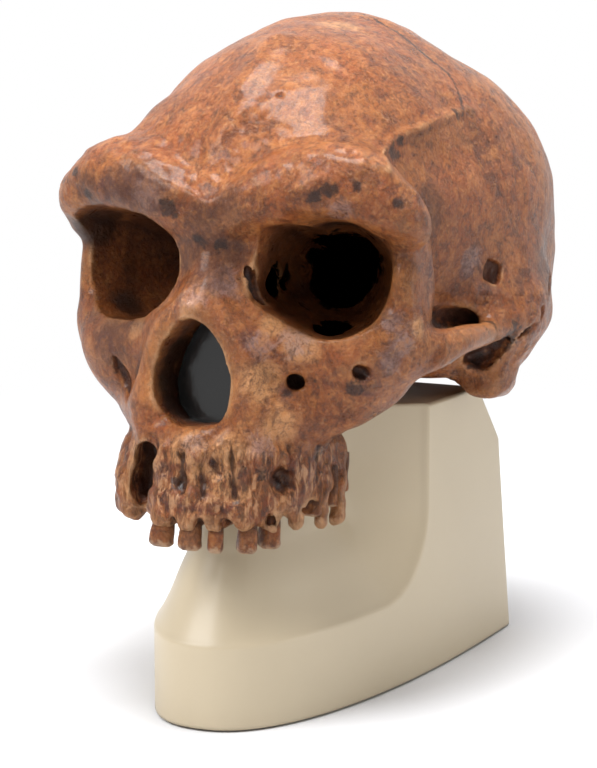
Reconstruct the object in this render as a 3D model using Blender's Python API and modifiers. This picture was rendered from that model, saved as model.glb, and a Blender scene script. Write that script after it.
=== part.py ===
"""Anatomical skull model: a hollow cast cranium that lifts off a moulded stand.

Metres, +Z up. The floor is Z = 0, the face looks along -Y and +X is the skull's left side.
The cranium is drawn in its own frame, with the origin midway between the ear openings,
and then tipped back onto the stand.
"""
import math

import bmesh
import bpy
from mathutils import Euler, Matrix, Vector

# %% Driving sizes of the cranium
CRANIAL_LENGTH = 0.209          # along the vault, brow to the back of the head
CRANIAL_HALF_WIDTH = 0.073      # half the greatest breadth
CRANIAL_HEIGHT = 0.130          # skull base to the top of the vault
WALL = 0.004                    # wall of the hollow cast
CAST_GRAIN = 0.0021             # voxel that the masses are merged with
CRANIUM_TILT = math.radians(-5.9)   # the face tips up on the stand
EAR_LEVEL = 0.123               # height of the ear openings above the floor
EAR_BEHIND = 0.0110             # distance of the ear openings behind the origin

# %% Driving sizes of the stand
STAND_LENGTH = 0.1707           # front tip to rear face, along the bottom
STAND_HALF_WIDTH = 0.0452
STAND_TOP = 0.0975              # level of the flat top that carries the cranium
STAND_FRONT = 0.1007            # distance of the front tip before the origin
STAND_WALL = 0.004
STAND_ROUNDING = 0.0014         # rounding of the top edges
FOOTPRINT_POWER = 2.35          # 2 is an ellipse, more is boxier
CORE_HALF_WIDTH = 0.0155        # the tongue that rises between the tooth rows
CORE_SETBACK = 0.0215           # distance of the tongue's tip behind the stand's tip
CORE_DROP = 0.0105              # how far the tongue stays below the stand's top
CORE_FLARE = 0.005              # how much wider the tongue is at its foot, on each side
BAND_HEIGHT = 0.028             # upright band round the bottom
SCOOP_RADIUS = 0.030            # sweep from the band into the scooped side
CREASE_BACK = 0.0953            # distance of the upright crease behind the stand's tip
FRONT_STATION_SHARES = (0, 0.010, 0.042, 0.10, 0.18, 0.29, 0.42, 0.55, 0.67, 0.78, 0.87, 0.94, 1)
REAR_STATION_SHARES = (0.30, 0.65, 1)
LEVEL_SHARES = (0, 0.285, 0.325, 0.37, 0.42, 0.48, 0.54, 0.60, 0.68, 0.77, 0.86, 1)
WIDEST_SHARE = 0.93             # place of the greatest width, as a share of the length
TONGUE_WIDEST_SHARE = 0.36      # the same on the tongue, behind its own tip
REAR_LEAN_SHARE = 0.082         # how far the rear face leans forward, as a share of the length
REAR_CHAMFER_SHARE = 0.1225      # depth of the chamfer above it, as a share of the length
CHAMFER_START_SHARE = 0.77      # level where the chamfer starts, as a share of the height
REAR_CORNER_SHARE = 0.010       # radius of the rear corners, as a share of the length
STEP_SHARES = (0.25, 0.40)      # where the top steps up behind the palate, along the length
STEP_FOOT_SHARE = 0.6           # level above which the tongue is lowered, as a share of the height
SCOOP_RISE_SHARE = 0.03         # rise of the sweep towards the rear
SCOOP_POWER = 1.5               # 1 is a straight slope into the side, more is a rounder sweep
FLARE_SHARES = (0.85, 0.45)     # levels between which the tongue widens towards its foot
FOOT_PROUD = 0.0008             # the feet stand out this far below the stand

# %% Driving sizes of the fittings
GAP = 0.0003                    # clearance between pieces that touch
PLATE_THICKNESS = 0.003
PLATE_LEDGE = 0.0018            # width of the ledge that the base plate lies on
FOOT_RADIUS = 0.006
FOOT_POCKET = 0.001
SCREW_RADIUS = 0.0015
SCREW_LENGTH = 0.012
SCREW_HEAD_RADIUS = 0.003
SCREW_HEAD_HEIGHT = 0.0015
BOSS_RADIUS = 0.006
BOSS_HEIGHT = 0.020
POST_RADIUS = 0.004
POST_REACH = 0.036              # height of the post above the stand's top
POST_FLANGE_RADIUS = 0.0075
POST_FLANGE_THICKNESS = 0.0022
POST_TAIL = 0.012               # length of the post below the stand's top wall
NUT_RADIUS = 0.0070
NUT_THICKNESS = 0.005
WASHER_RADIUS = 0.0078
WASHER_THICKNESS = 0.0012
PAD_RADIUS = 0.0145
PAD_THICKNESS = 0.0026
SOCKET_WALL = 0.0025
SOCKET_LENGTH = 0.024
SOCKET_FLANGE_RADIUS = 0.0165
SOCKET_FLANGE_THICKNESS = 0.002
FORAMEN_RADIUS = 0.0125
LINER_THICKNESS = 0.0015
LINER_DEPTH = 0.0105            # distance of the dark panel behind the nasal rim
OVERRUN = 0.010                 # how far a cutter runs past what it cuts
SHORT_OVERRUN = 0.001
MERGE_DISTANCE = 0.00001        # points closer than this are one
POST_PLACE_SHARE = 0.70         # place of the post behind the front tip, as a share of the length

# %% Values worked out from the sizes above
STAND_TIP = -STAND_FRONT
POST_Y = STAND_TIP + POST_PLACE_SHARE * STAND_LENGTH
PAD_TOP = STAND_TOP + GAP + PAD_THICKNESS
SEAT_LEVEL = PAD_TOP + GAP
POSE = Matrix.Translation((0, EAR_BEHIND, EAR_LEVEL)) @ Matrix.Rotation(CRANIUM_TILT, 4, "X")

# %% Masses of the cranium
# Each rounded mass is a place, three radii and a tilt in degrees. Each bar is a list of
# places with a radius. Places and radii are shares of half the breadth (X), of the length (Y)
# and of the height (Z), and a bar's radius is a share of half the breadth. The last word says
# whether a mass is single or has a twin on the other side.
BRAINCASE_SHARES = [
    ((0, 0.065, 0.285), (0.90, 0.390, 0.530), (0, 0, 0), "single"),      # vault
    ((0, -0.170, 0.325), (0.77, 0.270, 0.445), (0, 0, 0), "single"),     # upper forehead
    ((0, -0.050, 0.310), (0.83, 0.300, 0.490), (0, 0, 0), "single"),     # between them
    ((-0.25, -0.085, 0.49), (0.44, 0.200, 0.260), (0, 0, 0), "single"),  # right side of the vault
    ((0, 0.280, 0.155), (0.77, 0.195, 0.330), (0, 0, 0), "single"),      # back of the head
    ((0, -0.315, 0.275), (0.71, 0.175, 0.330), (0, 0, 0), "single"),     # lower forehead
    ((0.55, 0.085, 0.030), (0.425, 0.190, 0.185), (0, 0, 0), "twin"),     # above the ears
    ((0, -0.265, 0.015), (0.47, 0.170, 0.260), (0, 0, 0), "single"),     # behind the eyes
    ((-0.07, -0.010, 0.555), (0.49, 0.220, 0.295), (0, 0, 0), "single"),  # keel of the vault
    ((0.41, 0.190, 0.355), (0.46, 0.190, 0.275), (0, 0, 0), "twin"),     # sides of the vault
]
TEMPLE_HOLLOW_SHARES = [
    ((1.19, -0.28, 0.03), (0.44, 0.155, 0.385), (0, 0, 0), "twin"),
]
FACE_MASS_SHARES = [
    ((0.67, -0.325, 0.075), (0.11, 0.065, 0.17), (0, 0, -20), "twin"),   # outer orbit wall
    ((0, -0.085, -0.110), (0.27, 0.125, 0.090), (0, 0, 0), "single"),    # skull base
    ((0.22, -0.010, -0.170), (0.10, 0.055, 0.045), (0, 0, 0), "twin"),   # condyles
    ((0, -0.402, -0.075), (0.41, 0.120, 0.290), (0, 0, 0), "single"),    # middle of the face
    ((0.45, -0.365, -0.095), (0.33, 0.085, 0.165), (0, 0, -15), "twin"),  # cheek plates
    ((0.70, -0.340, -0.060), (0.15, 0.055, 0.125), (0, 0, 0), "twin"),   # cheek bones
    ((0.47, -0.390, 0.385), (0.33, 0.085, 0.085), (0, 0, -12), "twin"),  # roof of the brow
    ((0, -0.411, -0.355), (0.40, 0.133, 0.140), (0, 0, 0), "single"),    # upper jaw
    ((-0.41, -0.440, -0.415), (0.105, 0.050, 0.105), (0, 0, 0), "single"),  # right corner of the jaw
    ((0.77, 0.065, -0.085), (0.14, 0.060, 0.130), (-12, 0, 0), "twin"),  # mastoids
]
BAR_SHARES = {
    "nasal_bridge": [(0, -0.47, 0.23, 0.125), (0, -0.49, 0.17, 0.115), (0, -0.51, 0.10, 0.110),
                     (0, -0.535, 0.04, 0.080)],
    "nasal_side": [(0, -0.505, 0.09, 0.08), (0.16, -0.485, -0.015, 0.08), (0.22, -0.475, -0.125, 0.08),
                   (0.23, -0.48, -0.245, 0.11)],
    "brow": [(0, -0.48, 0.285, 0.145), (0.19, -0.485, 0.31, 0.15), (0.38, -0.475, 0.345, 0.15),
             (0.58, -0.455, 0.355, 0.15), (0.73, -0.425, 0.325, 0.145), (0.78, -0.39, 0.27, 0.116),
             (0.775, -0.37, 0.215, 0.082)],
    "orbit_pillar": [(0.775, -0.38, 0.23, 0.082), (0.767, -0.365, 0.11, 0.080), (0.77, -0.355, 0, 0.09),
                     (0.73, -0.35, -0.075, 0.11)],
    "orbit_floor_rim": [(0.23, -0.465, -0.025, 0.08), (0.41, -0.44, -0.06, 0.08),
                        (0.60, -0.405, -0.07, 0.08), (0.74, -0.375, -0.015, 0.08)],
    "jaw_upper": [(0, -0.515, -0.34, 0.135), (0.19, -0.50, -0.34, 0.135), (0.33, -0.45, -0.33, 0.135),
                  (0.40, -0.385, -0.325, 0.135), (0.38, -0.315, -0.31, 0.125)],
    "jaw_rim": [(0, -0.53, -0.445, 0.09), (0.18, -0.51, -0.445, 0.09), (0.32, -0.465, -0.43, 0.09),
                (0.40, -0.395, -0.395, 0.095), (0.42, -0.31, -0.345, 0.095)],
    "cheek_arch": [(0.74, -0.335, -0.075, 0.11), (0.85, -0.28, -0.09, 0.095), (0.92, -0.19, -0.075, 0.085),
                   (0.93, -0.105, -0.04, 0.085), (0.89, -0.04, 0, 0.085)],
    "ear_crest": [(0.86, -0.02, 0.015, 0.07), (0.88, 0.065, 0.06, 0.08), (0.82, 0.165, 0.125, 0.07)],
    "rear_crest": [(0, 0.43, 0.125, 0.095), (0.34, 0.40, 0.11, 0.095), (0.62, 0.315, 0.06, 0.08),
                   (0.78, 0.19, 0.03, 0.08)],
}
HOLLOW_SHARES = [
    ((0.49, -0.46, 0.11), (0.31, 0.125, 0.15), (0, -6, 6), "twin"),      # orbits
    ((0.38, -0.355, 0.10), (0.19, 0.095, 0.10), (0, 0, -18), "twin"),    # depth of the orbits
    ((0, -0.365, -0.525), (0.26, 0.155, 0.17), (0, 0, 0), "single"),     # palate
    ((0.90, 0.010, -0.02), (0.20, 0.020, 0.034), (0, 0, 0), "twin"),     # ear openings
    ((0.73, -0.085, -0.06), (0.16, 0.040, 0.045), (0, 0, 0), "twin"),    # jaw sockets
]

# Outline of the nasal opening, from the bottom middle up the left side to the top middle,
# as shares of half the breadth and of the height, and the depth of its pocket along the length.
NASAL_OUTLINE_SHARES = [(0, -0.265), (0.11, -0.255), (0.18, -0.21), (0.20, -0.15), (0.17, -0.085),
                        (0.12, -0.025), (0.06, 0.015), (0, 0.025)]
NASAL_FRONT_SHARE = -0.57
NASAL_RIM_SHARE = -0.50
NASAL_BACK_SHARE = -0.42

# The hollow of the cast follows the braincase, inset by the wall.
CAVITY_PIECES = 5               # masses of the braincase, from the vault on, that are hollowed
SKIN_TRIANGLES = 7200           # triangles that the outer skin is thinned to
HOLLOW_TRIANGLES = 1500         # triangles that the skin of the hollow is thinned to

# Planes where the halves of the cast are glued, as shares of the length and of the height.
FACE_SEAM_SHARE = -0.27
VAULT_SEAM_SHARE = 0.11

# Inner side, rear end, lowest and highest level of the cheek arches, which are cast apart.
ARCH_INNER_SHARE = 0.73
ARCH_REAR_SHARE = -0.12
ARCH_LEVEL_SHARES = (-0.20, 0.03)

# Teeth: place across and along the tooth row and its level (shares as above), half width,
# half depth and height below the gum (shares of half the breadth), and lean in degrees.
TOOTH_SHARES = {
    "tooth_right_1": (-0.113, -0.528, -0.495, 0.053, 0.050, 0.110, 4),
    "tooth_left_1": (0.037, -0.535, -0.495, 0.051, 0.050, 0.110, 4),
    "tooth_left_2": (0.142, -0.523, -0.495, 0.036, 0.046, 0.115, 4),
    "tooth_left_3": (0.250, -0.492, -0.490, 0.044, 0.052, 0.125, 3),
    "tooth_left_4": (0.322, -0.455, -0.480, 0.044, 0.054, 0.125, 2),
    "tooth_left_5": (0.358, -0.428, -0.440, 0.034, 0.050, 0.050, 0),
    "tooth_left_6": (0.402, -0.380, -0.435, 0.047, 0.062, 0.070, -2),
    "tooth_left_7": (0.422, -0.338, -0.415, 0.045, 0.062, 0.070, -4),
    "tooth_left_8": (0.425, -0.300, -0.385, 0.042, 0.058, 0.065, -6),
    "tooth_right_6": (-0.402, -0.375, -0.445, 0.050, 0.062, 0.040, -2),
    "tooth_right_7": (-0.420, -0.325, -0.415, 0.050, 0.062, 0.040, -4),
}
ROOT_SHARE = 0.12               # depth of a root above the gum, as a share of half the breadth
ROW_CENTRE_SHARE = -0.40        # middle of the tooth row's bend, along the length
ROOT_TIP_SHARE = 0.62           # radius at a root's end, as a share of the crown's radius
NECK_SHARE = 0.86               # radius at the gum, as a share of the crown's radius
CROWN_PROFILE_SHARES = [(1, 0.55), (0.9, 0.9), (0.7, 1), (0, 1)]     # radius and depth below the gum

# Screws and feet, as shares of the stand's half width and of its length from the front tip.
SCREW_PLACE_SHARES = [(-0.40, 0.13), (0.40, 0.13), (-0.83, 0.90), (0.83, 0.90)]
FOOT_PLACE_SHARES = [(-0.42, 0.24), (0.42, 0.24), (-0.72, 0.78), (0.72, 0.78)]

# Colour (linear), roughness and metallic value of each material.
MATERIALS = {
    "painted_bone": ((0.30, 0.135, 0.075, 1), 0.38, 0.0),
    "painted_tooth": ((0.27, 0.13, 0.085, 1), 0.35, 0.0),
    "dark_panel": ((0.025, 0.024, 0.022, 1), 0.15, 0.0),
    "cream_plastic": ((0.60, 0.50, 0.355, 1), 0.32, 0.0),
    "plate_plastic": ((0.52, 0.44, 0.32, 1), 0.55, 0.0),
    "steel": ((0.60, 0.60, 0.62, 1), 0.30, 1.0),
    "felt": ((0.05, 0.05, 0.055, 1), 0.95, 0.0),
    "foot_rubber": ((0.03, 0.03, 0.03, 1), 0.80, 0.0),
}


# %% Scene and materials
def clear_scene():
    for old in list(bpy.data.objects):
        bpy.data.objects.remove(old, do_unlink=True)


def new_collection(name):
    collection = bpy.data.collections.new(name)
    bpy.context.scene.collection.children.link(collection)
    return collection


def make_material(name):
    colour, roughness, metallic = MATERIALS[name]
    material = bpy.data.materials.new(name)
    material.use_nodes = True
    shader = material.node_tree.nodes["Principled BSDF"]
    shader.inputs["Base Color"].default_value = colour
    shader.inputs["Roughness"].default_value = roughness
    shader.inputs["Metallic"].default_value = metallic
    material.diffuse_color = colour
    return material


clear_scene()
PARTS = new_collection("anatomical_skull_model")
CUTTERS = new_collection("cutters")
MATERIAL = {name: make_material(name) for name in MATERIALS}


# %% Helpers that make and join meshes
def add(name, mesh, collection=CUTTERS):
    """Add an object; whatever isn't a part is a guide or a cutter."""
    piece = bpy.data.objects.new(name, mesh)
    collection.objects.link(piece)
    if collection is CUTTERS:
        piece.hide_render = True
        piece.display_type = "WIRE"
    return piece


def add_part(name, mesh, material, parent=None):
    piece = add(name, mesh, PARTS)
    mesh.materials.clear()
    mesh.materials.append(MATERIAL[material])
    if parent:
        piece.parent = parent
        piece.matrix_parent_inverse = parent.matrix_world.inverted()
    return piece


def mesh_from(fill):
    """Make a mesh by giving an empty bmesh to a function."""
    shape = bmesh.new()
    fill(shape)
    bmesh.ops.recalc_face_normals(shape, faces=shape.faces)
    mesh = bpy.data.meshes.new("shape")
    shape.to_mesh(mesh)
    shape.free()
    return mesh


def baked(piece):
    """Return the evaluated mesh of an object, in world space, and remove the object."""
    bpy.context.view_layer.update()
    evaluated = piece.evaluated_get(bpy.context.evaluated_depsgraph_get())
    mesh = bpy.data.meshes.new_from_object(evaluated)
    mesh.transform(piece.matrix_world)
    bpy.data.objects.remove(piece, do_unlink=True)
    return mesh


def cut(piece, cutter, operation="DIFFERENCE"):
    step = piece.modifiers.new(cutter.name, "BOOLEAN")
    step.object = cutter
    step.operation = operation
    step.solver = "EXACT"


def merged(name, meshes, grain, smoothing):
    """Join closed meshes into one skin with a voxel remesh, then relax it."""
    shape = bmesh.new()
    for mesh in meshes:
        shape.from_mesh(mesh)
    joined = bpy.data.meshes.new(name)
    shape.to_mesh(joined)
    shape.free()
    piece = add(name, joined)
    remesh = piece.modifiers.new("merge", "REMESH")
    remesh.mode = "VOXEL"
    remesh.voxel_size = grain
    relax = piece.modifiers.new("relax", "SMOOTH")
    relax.factor = 0.5
    relax.iterations = smoothing
    return baked(piece)


def box(low, high):
    size = Vector(high) - Vector(low)
    middle = (Vector(high) + Vector(low)) / 2
    matrix = Matrix.Translation(middle) @ Matrix.Diagonal((*size, 1))
    return mesh_from(lambda shape: bmesh.ops.create_cube(shape, size=1, matrix=matrix))


def cylinder(radius, low, high, place=(0, 0), sides=24):
    """Upright cylinder from one level to another."""
    matrix = Matrix.Translation((place[0], place[1], (low + high) / 2))
    return mesh_from(lambda shape: bmesh.ops.create_cone(
        shape, cap_ends=True, segments=sides, radius1=radius, radius2=radius,
        depth=high - low, matrix=matrix))


def turned(profile, sides, place=(0, 0, 0)):
    """Turn a profile of (radius, height) points, from top to bottom, about the Z axis."""
    outline = bpy.data.meshes.new("profile")
    outline.from_pydata([(radius, 0, height) for radius, height in profile],
                        [(i, i + 1) for i in range(len(profile) - 1)], [])
    piece = add("turned", outline)
    piece.location = place
    screw = piece.modifiers.new("turn", "SCREW")
    screw.steps = sides
    screw.render_steps = sides
    screw.use_merge_vertices = True
    screw.merge_threshold = MERGE_DISTANCE
    return baked(piece)


def loft(rings, paired=False):
    """Skin a stack of equal rings and cap both ends. A paired ring starts at its tip, and its
    caps run across from each point to its twin, so that they can bend along the middle."""
    def fill(shape):
        rows = [[shape.verts.new(point) for point in ring] for ring in rings]
        count = len(rows[0])
        for lower, upper in zip(rows, rows[1:]):
            for i in range(count):
                j = (i + 1) % count
                shape.faces.new((lower[i], lower[j], upper[j], upper[i]))
        for row in (rows[0], rows[-1]):
            if not paired:
                shape.faces.new(row)
                continue
            shape.faces.new((row[0], row[1], row[-1]))
            for i in range(1, count // 2):
                shape.faces.new((row[i], row[i + 1], row[count - i - 1], row[count - i]))
    return mesh_from(fill)


# %% The cranium's masses
def at(across, along, up):
    """A place in the cranium's frame, from shares of its driving sizes."""
    return Vector((across * CRANIAL_HALF_WIDTH, along * CRANIAL_LENGTH, up * CRANIAL_HEIGHT))


def rounded_masses(shares, inset=0, segments=36):
    """Ellipsoids, each with its twin where it has one, optionally inset by a wall."""
    meshes = []
    for place, radii, tilt, sides in shares:
        for side in ((1, -1) if sides == "twin" else (1,)):
            turn = Euler([math.radians(angle) for angle in tilt]).to_matrix().to_4x4()
            size = at(*radii) - Vector((inset, inset, inset))
            matrix = Matrix.Diagonal((side, 1, 1, 1)) @ Matrix.Translation(at(*place)) @ turn
            matrix = matrix @ Matrix.Diagonal((*size, 1))
            meshes.append(mesh_from(lambda shape: bmesh.ops.create_uvsphere(
                shape, u_segments=segments, v_segments=segments // 2, radius=1, matrix=matrix)))
    return meshes


def bar(shares, side):
    """A curved bar with a radius at each place, capped at both ends."""
    curve = bpy.data.curves.new("bar", "CURVE")
    curve.dimensions = "3D"
    curve.bevel_depth = 1
    curve.bevel_resolution = 3
    curve.use_fill_caps = True
    curve.resolution_u = 6
    spline = curve.splines.new("BEZIER")
    spline.bezier_points.add(len(shares) - 1)
    for point, (across, along, up, radius) in zip(spline.bezier_points, shares):
        point.co = at(side * across, along, up)
        point.radius = radius * CRANIAL_HALF_WIDTH
        point.handle_left_type = "AUTO"
        point.handle_right_type = "AUTO"
    mesh = baked(add("bar", curve))
    shape = bmesh.new()
    shape.from_mesh(mesh)
    bmesh.ops.remove_doubles(shape, verts=shape.verts, dist=MERGE_DISTANCE)
    bmesh.ops.recalc_face_normals(shape, faces=shape.faces)
    shape.to_mesh(mesh)
    shape.free()
    return mesh


def bar_ends(shares, side):
    """Round knobs that close the ends of a bar."""
    knobs = []
    for across, along, up, radius in (shares[0], shares[-1]):
        matrix = Matrix.Translation(at(side * across, along, up))
        knobs.append(mesh_from(lambda shape: bmesh.ops.create_uvsphere(
            shape, u_segments=16, v_segments=8, radius=radius * CRANIAL_HALF_WIDTH, matrix=matrix)))
    return knobs


def nasal_prism(front, back, inset=0):
    """The pear-shaped nasal opening, drawn from its left half and run from front to back."""
    left = [at(across, 0, up) for across, up in NASAL_OUTLINE_SHARES]
    middle = (left[0] + left[-1]) / 2
    outline = left + [Vector((-p.x, p.y, p.z)) for p in reversed(left[1:-1])]
    drawn_in = [p + (middle - p).normalized() * inset for p in outline]
    return loft([[(p.x, along, p.z) for p in drawn_in] for along in (front, back)])


def cranium_skin():
    """The outer skin of the cranium with its orbits, palate and ear openings."""
    vault = add("braincase", merged("braincase", rounded_masses(BRAINCASE_SHARES), CAST_GRAIN, 80))
    hollows = rounded_masses(TEMPLE_HOLLOW_SHARES)
    for number, mesh in enumerate(hollows):
        cut(vault, add("temple_hollow_%d" % number, mesh))
    meshes = [baked(vault)] + rounded_masses(FACE_MASS_SHARES)
    for shares in BAR_SHARES.values():
        for side in (1, -1):
            meshes.append(bar(shares, side))
            meshes += bar_ends(shares, side)
    skin = add("skin", merged("skin", meshes, CAST_GRAIN, 9))
    for number, mesh in enumerate(rounded_masses(HOLLOW_SHARES)):
        cut(skin, add("hollow_%d" % number, mesh))
    return merged("cranium", [baked(skin)], CAST_GRAIN, 3)


# %% The stand
def ease(share):
    """A smooth step from 0 to 1."""
    share = min(max(share, 0), 1)
    return share * share * (3 - 2 * share)


def half_width_of(along, half_width, widest):
    """Half width of a rounded plan at a distance behind its tip."""
    ahead = max(0.0, (widest - along) / widest)
    return half_width * max(0.0, 1 - ahead ** FOOTPRINT_POWER) ** (1 / FOOTPRINT_POWER)


def scoop(along, level):
    """How far the side is drawn in to the tongue: 0 on the full wall, 1 on the tongue.
    The sweep starts at a crisp crease and runs out round against the tongue."""
    centre_along = CREASE_BACK - SCOOP_RADIUS
    centre_level = BAND_HEIGHT + SCOOP_RADIUS + SCOOP_RISE_SHARE * along
    reach = math.hypot(max(along - centre_along, 0), max(centre_level - level, 0)) / SCOOP_RADIUS
    return 1 - min(reach, 1) ** SCOOP_POWER


def core_half_width(level, inset):
    """Half width of the tongue, which widens towards its foot."""
    start, end = FLARE_SHARES
    return CORE_HALF_WIDTH - inset + CORE_FLARE * ease((level / STAND_TOP - start) / (end - start))


def rear_of(level):
    """Distance of the rear face behind the tip: it leans forward, then is chamfered off."""
    share = level / STAND_TOP
    lean = REAR_LEAN_SHARE * min(share / CHAMFER_START_SHARE, 1)
    chamfer = REAR_CHAMFER_SHARE * max(share - CHAMFER_START_SHARE, 0) / (1 - CHAMFER_START_SHARE)
    return (1 - lean - chamfer) * STAND_LENGTH


def top_of(along):
    """Level of the stand's top, lower on the tongue under the palate."""
    start, end = STEP_SHARES
    return STAND_TOP - CORE_DROP * (1 - ease((along / STAND_LENGTH - start) / (end - start)))


def height_at(share, along):
    """Level of a share of the stand's height; only its upper part is lower on the tongue."""
    upper = max(share - STEP_FOOT_SHARE, 0) / (1 - STEP_FOOT_SHARE)
    return share * STAND_TOP - upper * (STAND_TOP - top_of(along))


def stand_ring(share, inset):
    """Closed outline of the stand at a share of its height, drawn in by an inset."""
    left = []
    rear = rear_of(share * STAND_TOP) - inset
    corner = REAR_CORNER_SHARE * STAND_LENGTH
    widest = WIDEST_SHARE * STAND_LENGTH
    tongue_widest = TONGUE_WIDEST_SHARE * STAND_LENGTH
    core_tip = CORE_SETBACK + inset
    pairs = [(inset + (CREASE_BACK - inset) * share_back, core_tip + (CREASE_BACK - core_tip) * share_back)
             for share_back in FRONT_STATION_SHARES]
    behind = [CREASE_BACK + (rear - corner - CREASE_BACK) * share_back for share_back in REAR_STATION_SHARES]
    for full_along, core_along in pairs + [(along, along) for along in behind]:
        full = half_width_of(full_along - inset, STAND_HALF_WIDTH - inset, widest)
        level = height_at(share, full_along)
        core = half_width_of(core_along - core_tip, core_half_width(level, inset), tongue_widest)
        inward = scoop(full_along, level)
        left.append((full + (core - full) * inward, full_along + (core_along - full_along) * inward, level))
    side = left[-1][0]
    for angle in (30, 60, 90):
        swing = math.radians(angle)
        along = rear - corner + corner * math.sin(swing)
        left.append((side - corner + corner * math.cos(swing), along, height_at(share, along)))
    right = [(-x, along, z) for x, along, z in reversed(left[1:])]
    return [(x, STAND_TIP + along, z) for x, along, z in left + right]


def stand_solid(inset, bottom, top_inset):
    """The stand's outer or inner solid, as a loft of its outlines."""
    rings = []
    low = bottom / STAND_TOP
    high = (STAND_TOP - top_inset - STAND_ROUNDING) / STAND_TOP
    for share in LEVEL_SHARES:
        rings.append(stand_ring(low + (high - low) * share, inset))
    for angle in (30, 60, 90):
        swing = math.radians(angle)
        share = high + STAND_ROUNDING / STAND_TOP * math.sin(swing)
        rings.append(stand_ring(share, inset + STAND_ROUNDING * (1 - math.cos(swing))))
    return loft(rings, paired=True)


def plate_outline(inset, low, high):
    """A flat plate with the stand's plan."""
    rings = []
    for level in (low, high):
        rings.append([(x, y, level) for x, y, z in stand_ring(0, inset)])
    return loft(rings)


def on_stand(place):
    across, along = place
    return (across * STAND_HALF_WIDTH, STAND_TIP + along * STAND_LENGTH)


def build_stand():
    shell = add_part("stand_shell", stand_solid(0, FOOT_PROUD, 0), "cream_plastic")
    hollow = stand_solid(STAND_WALL, -OVERRUN, STAND_WALL)
    cut(shell, add("stand_hollow", hollow))
    plate_top = FOOT_PROUD + PLATE_THICKNESS
    rebate = STAND_WALL - PLATE_LEDGE
    cut(shell, add("plate_rebate", plate_outline(rebate, -OVERRUN, plate_top + GAP)))
    boss_low = plate_top + 2 * GAP
    for number, place in enumerate(SCREW_PLACE_SHARES):
        boss = add("boss_%d" % number, cylinder(
            BOSS_RADIUS, boss_low, boss_low + BOSS_HEIGHT, on_stand(place), 12))
        cut(shell, boss, "UNION")
        pilot_top = FOOT_PROUD + SCREW_LENGTH + SHORT_OVERRUN
        cut(shell, add("pilot_%d" % number, cylinder(SCREW_RADIUS + GAP, 0, pilot_top, on_stand(place), 8)))
    cut(shell, add("post_bore", cylinder(
        POST_RADIUS + GAP, STAND_TOP - STAND_WALL - OVERRUN, STAND_TOP + OVERRUN, (0, POST_Y))))
    plate = add_part("base_plate", plate_outline(rebate + GAP, FOOT_PROUD, plate_top), "plate_plastic")
    for number, place in enumerate(SCREW_PLACE_SHARES):
        low = FOOT_PROUD + SCREW_HEAD_HEIGHT + GAP
        cut(plate, add("screw_hole_%d" % number, cylinder(
            SCREW_RADIUS + GAP, 0, plate_top + OVERRUN, on_stand(place), 8)))
        cut(plate, add("screw_seat_%d" % number, cylinder(
            SCREW_HEAD_RADIUS + GAP, -OVERRUN, low, on_stand(place), 12)))
    for number, place in enumerate(FOOT_PLACE_SHARES):
        cut(plate, add("foot_pocket_%d" % number, cylinder(
            FOOT_RADIUS + GAP, -OVERRUN, FOOT_PROUD + FOOT_POCKET + GAP, on_stand(place), 16)))


def build_stand_fittings():
    for number, place in enumerate(SCREW_PLACE_SHARES, 1):
        head_top = FOOT_PROUD + SCREW_HEAD_HEIGHT
        tip = FOOT_PROUD + SCREW_LENGTH
        profile = [(0, tip), (SCREW_RADIUS / 2, tip), (SCREW_RADIUS, tip - SCREW_RADIUS),
                   (SCREW_RADIUS, head_top), (SCREW_HEAD_RADIUS, head_top), (SCREW_HEAD_RADIUS, FOOT_PROUD),
                   (0, FOOT_PROUD)]
        mesh = turned(profile, 8, (*on_stand(place), 0))
        add_part("base_screw_%d" % number, mesh, "steel")
    for number, place in enumerate(FOOT_PLACE_SHARES, 1):
        mesh = cylinder(FOOT_RADIUS, 0, FOOT_PROUD + FOOT_POCKET, on_stand(place), 16)
        add_part("foot_%d" % number, mesh, "foot_rubber")


def build_post():
    flange_low = STAND_TOP + GAP
    flange_top = flange_low + POST_FLANGE_THICKNESS
    top = STAND_TOP + POST_REACH
    tail = STAND_TOP - STAND_WALL - POST_TAIL
    nose = POST_RADIUS / 2
    profile = [(0, top), (POST_RADIUS - nose, top), (POST_RADIUS, top - nose), (POST_RADIUS, flange_top),
               (POST_FLANGE_RADIUS, flange_top), (POST_FLANGE_RADIUS, flange_low), (POST_RADIUS, flange_low),
               (POST_RADIUS, tail), (0, tail)]
    add_part("support_post", turned(profile, 24, (0, POST_Y, 0)), "steel")
    washer_top = STAND_TOP - STAND_WALL - GAP
    nut_top = washer_top - WASHER_THICKNESS - GAP
    for name, radius, high, thickness, sides in (
            ("post_washer", WASHER_RADIUS, washer_top, WASHER_THICKNESS, 24),
            ("post_nut", NUT_RADIUS, nut_top, NUT_THICKNESS, 6)):
        ring = add_part(name, cylinder(radius, high - thickness, high, (0, POST_Y), sides), "steel")
        cut(ring, add(name + "_bore", cylinder(
            POST_RADIUS + GAP, high - thickness - OVERRUN, high + OVERRUN, (0, POST_Y))))
    pad = add_part("seat_pad", cylinder(PAD_RADIUS, STAND_TOP + GAP, PAD_TOP, (0, POST_Y), 32), "felt")
    cut(pad, add("pad_bore", cylinder(
        POST_FLANGE_RADIUS + GAP, STAND_TOP - OVERRUN, PAD_TOP + OVERRUN, (0, POST_Y))))


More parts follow.
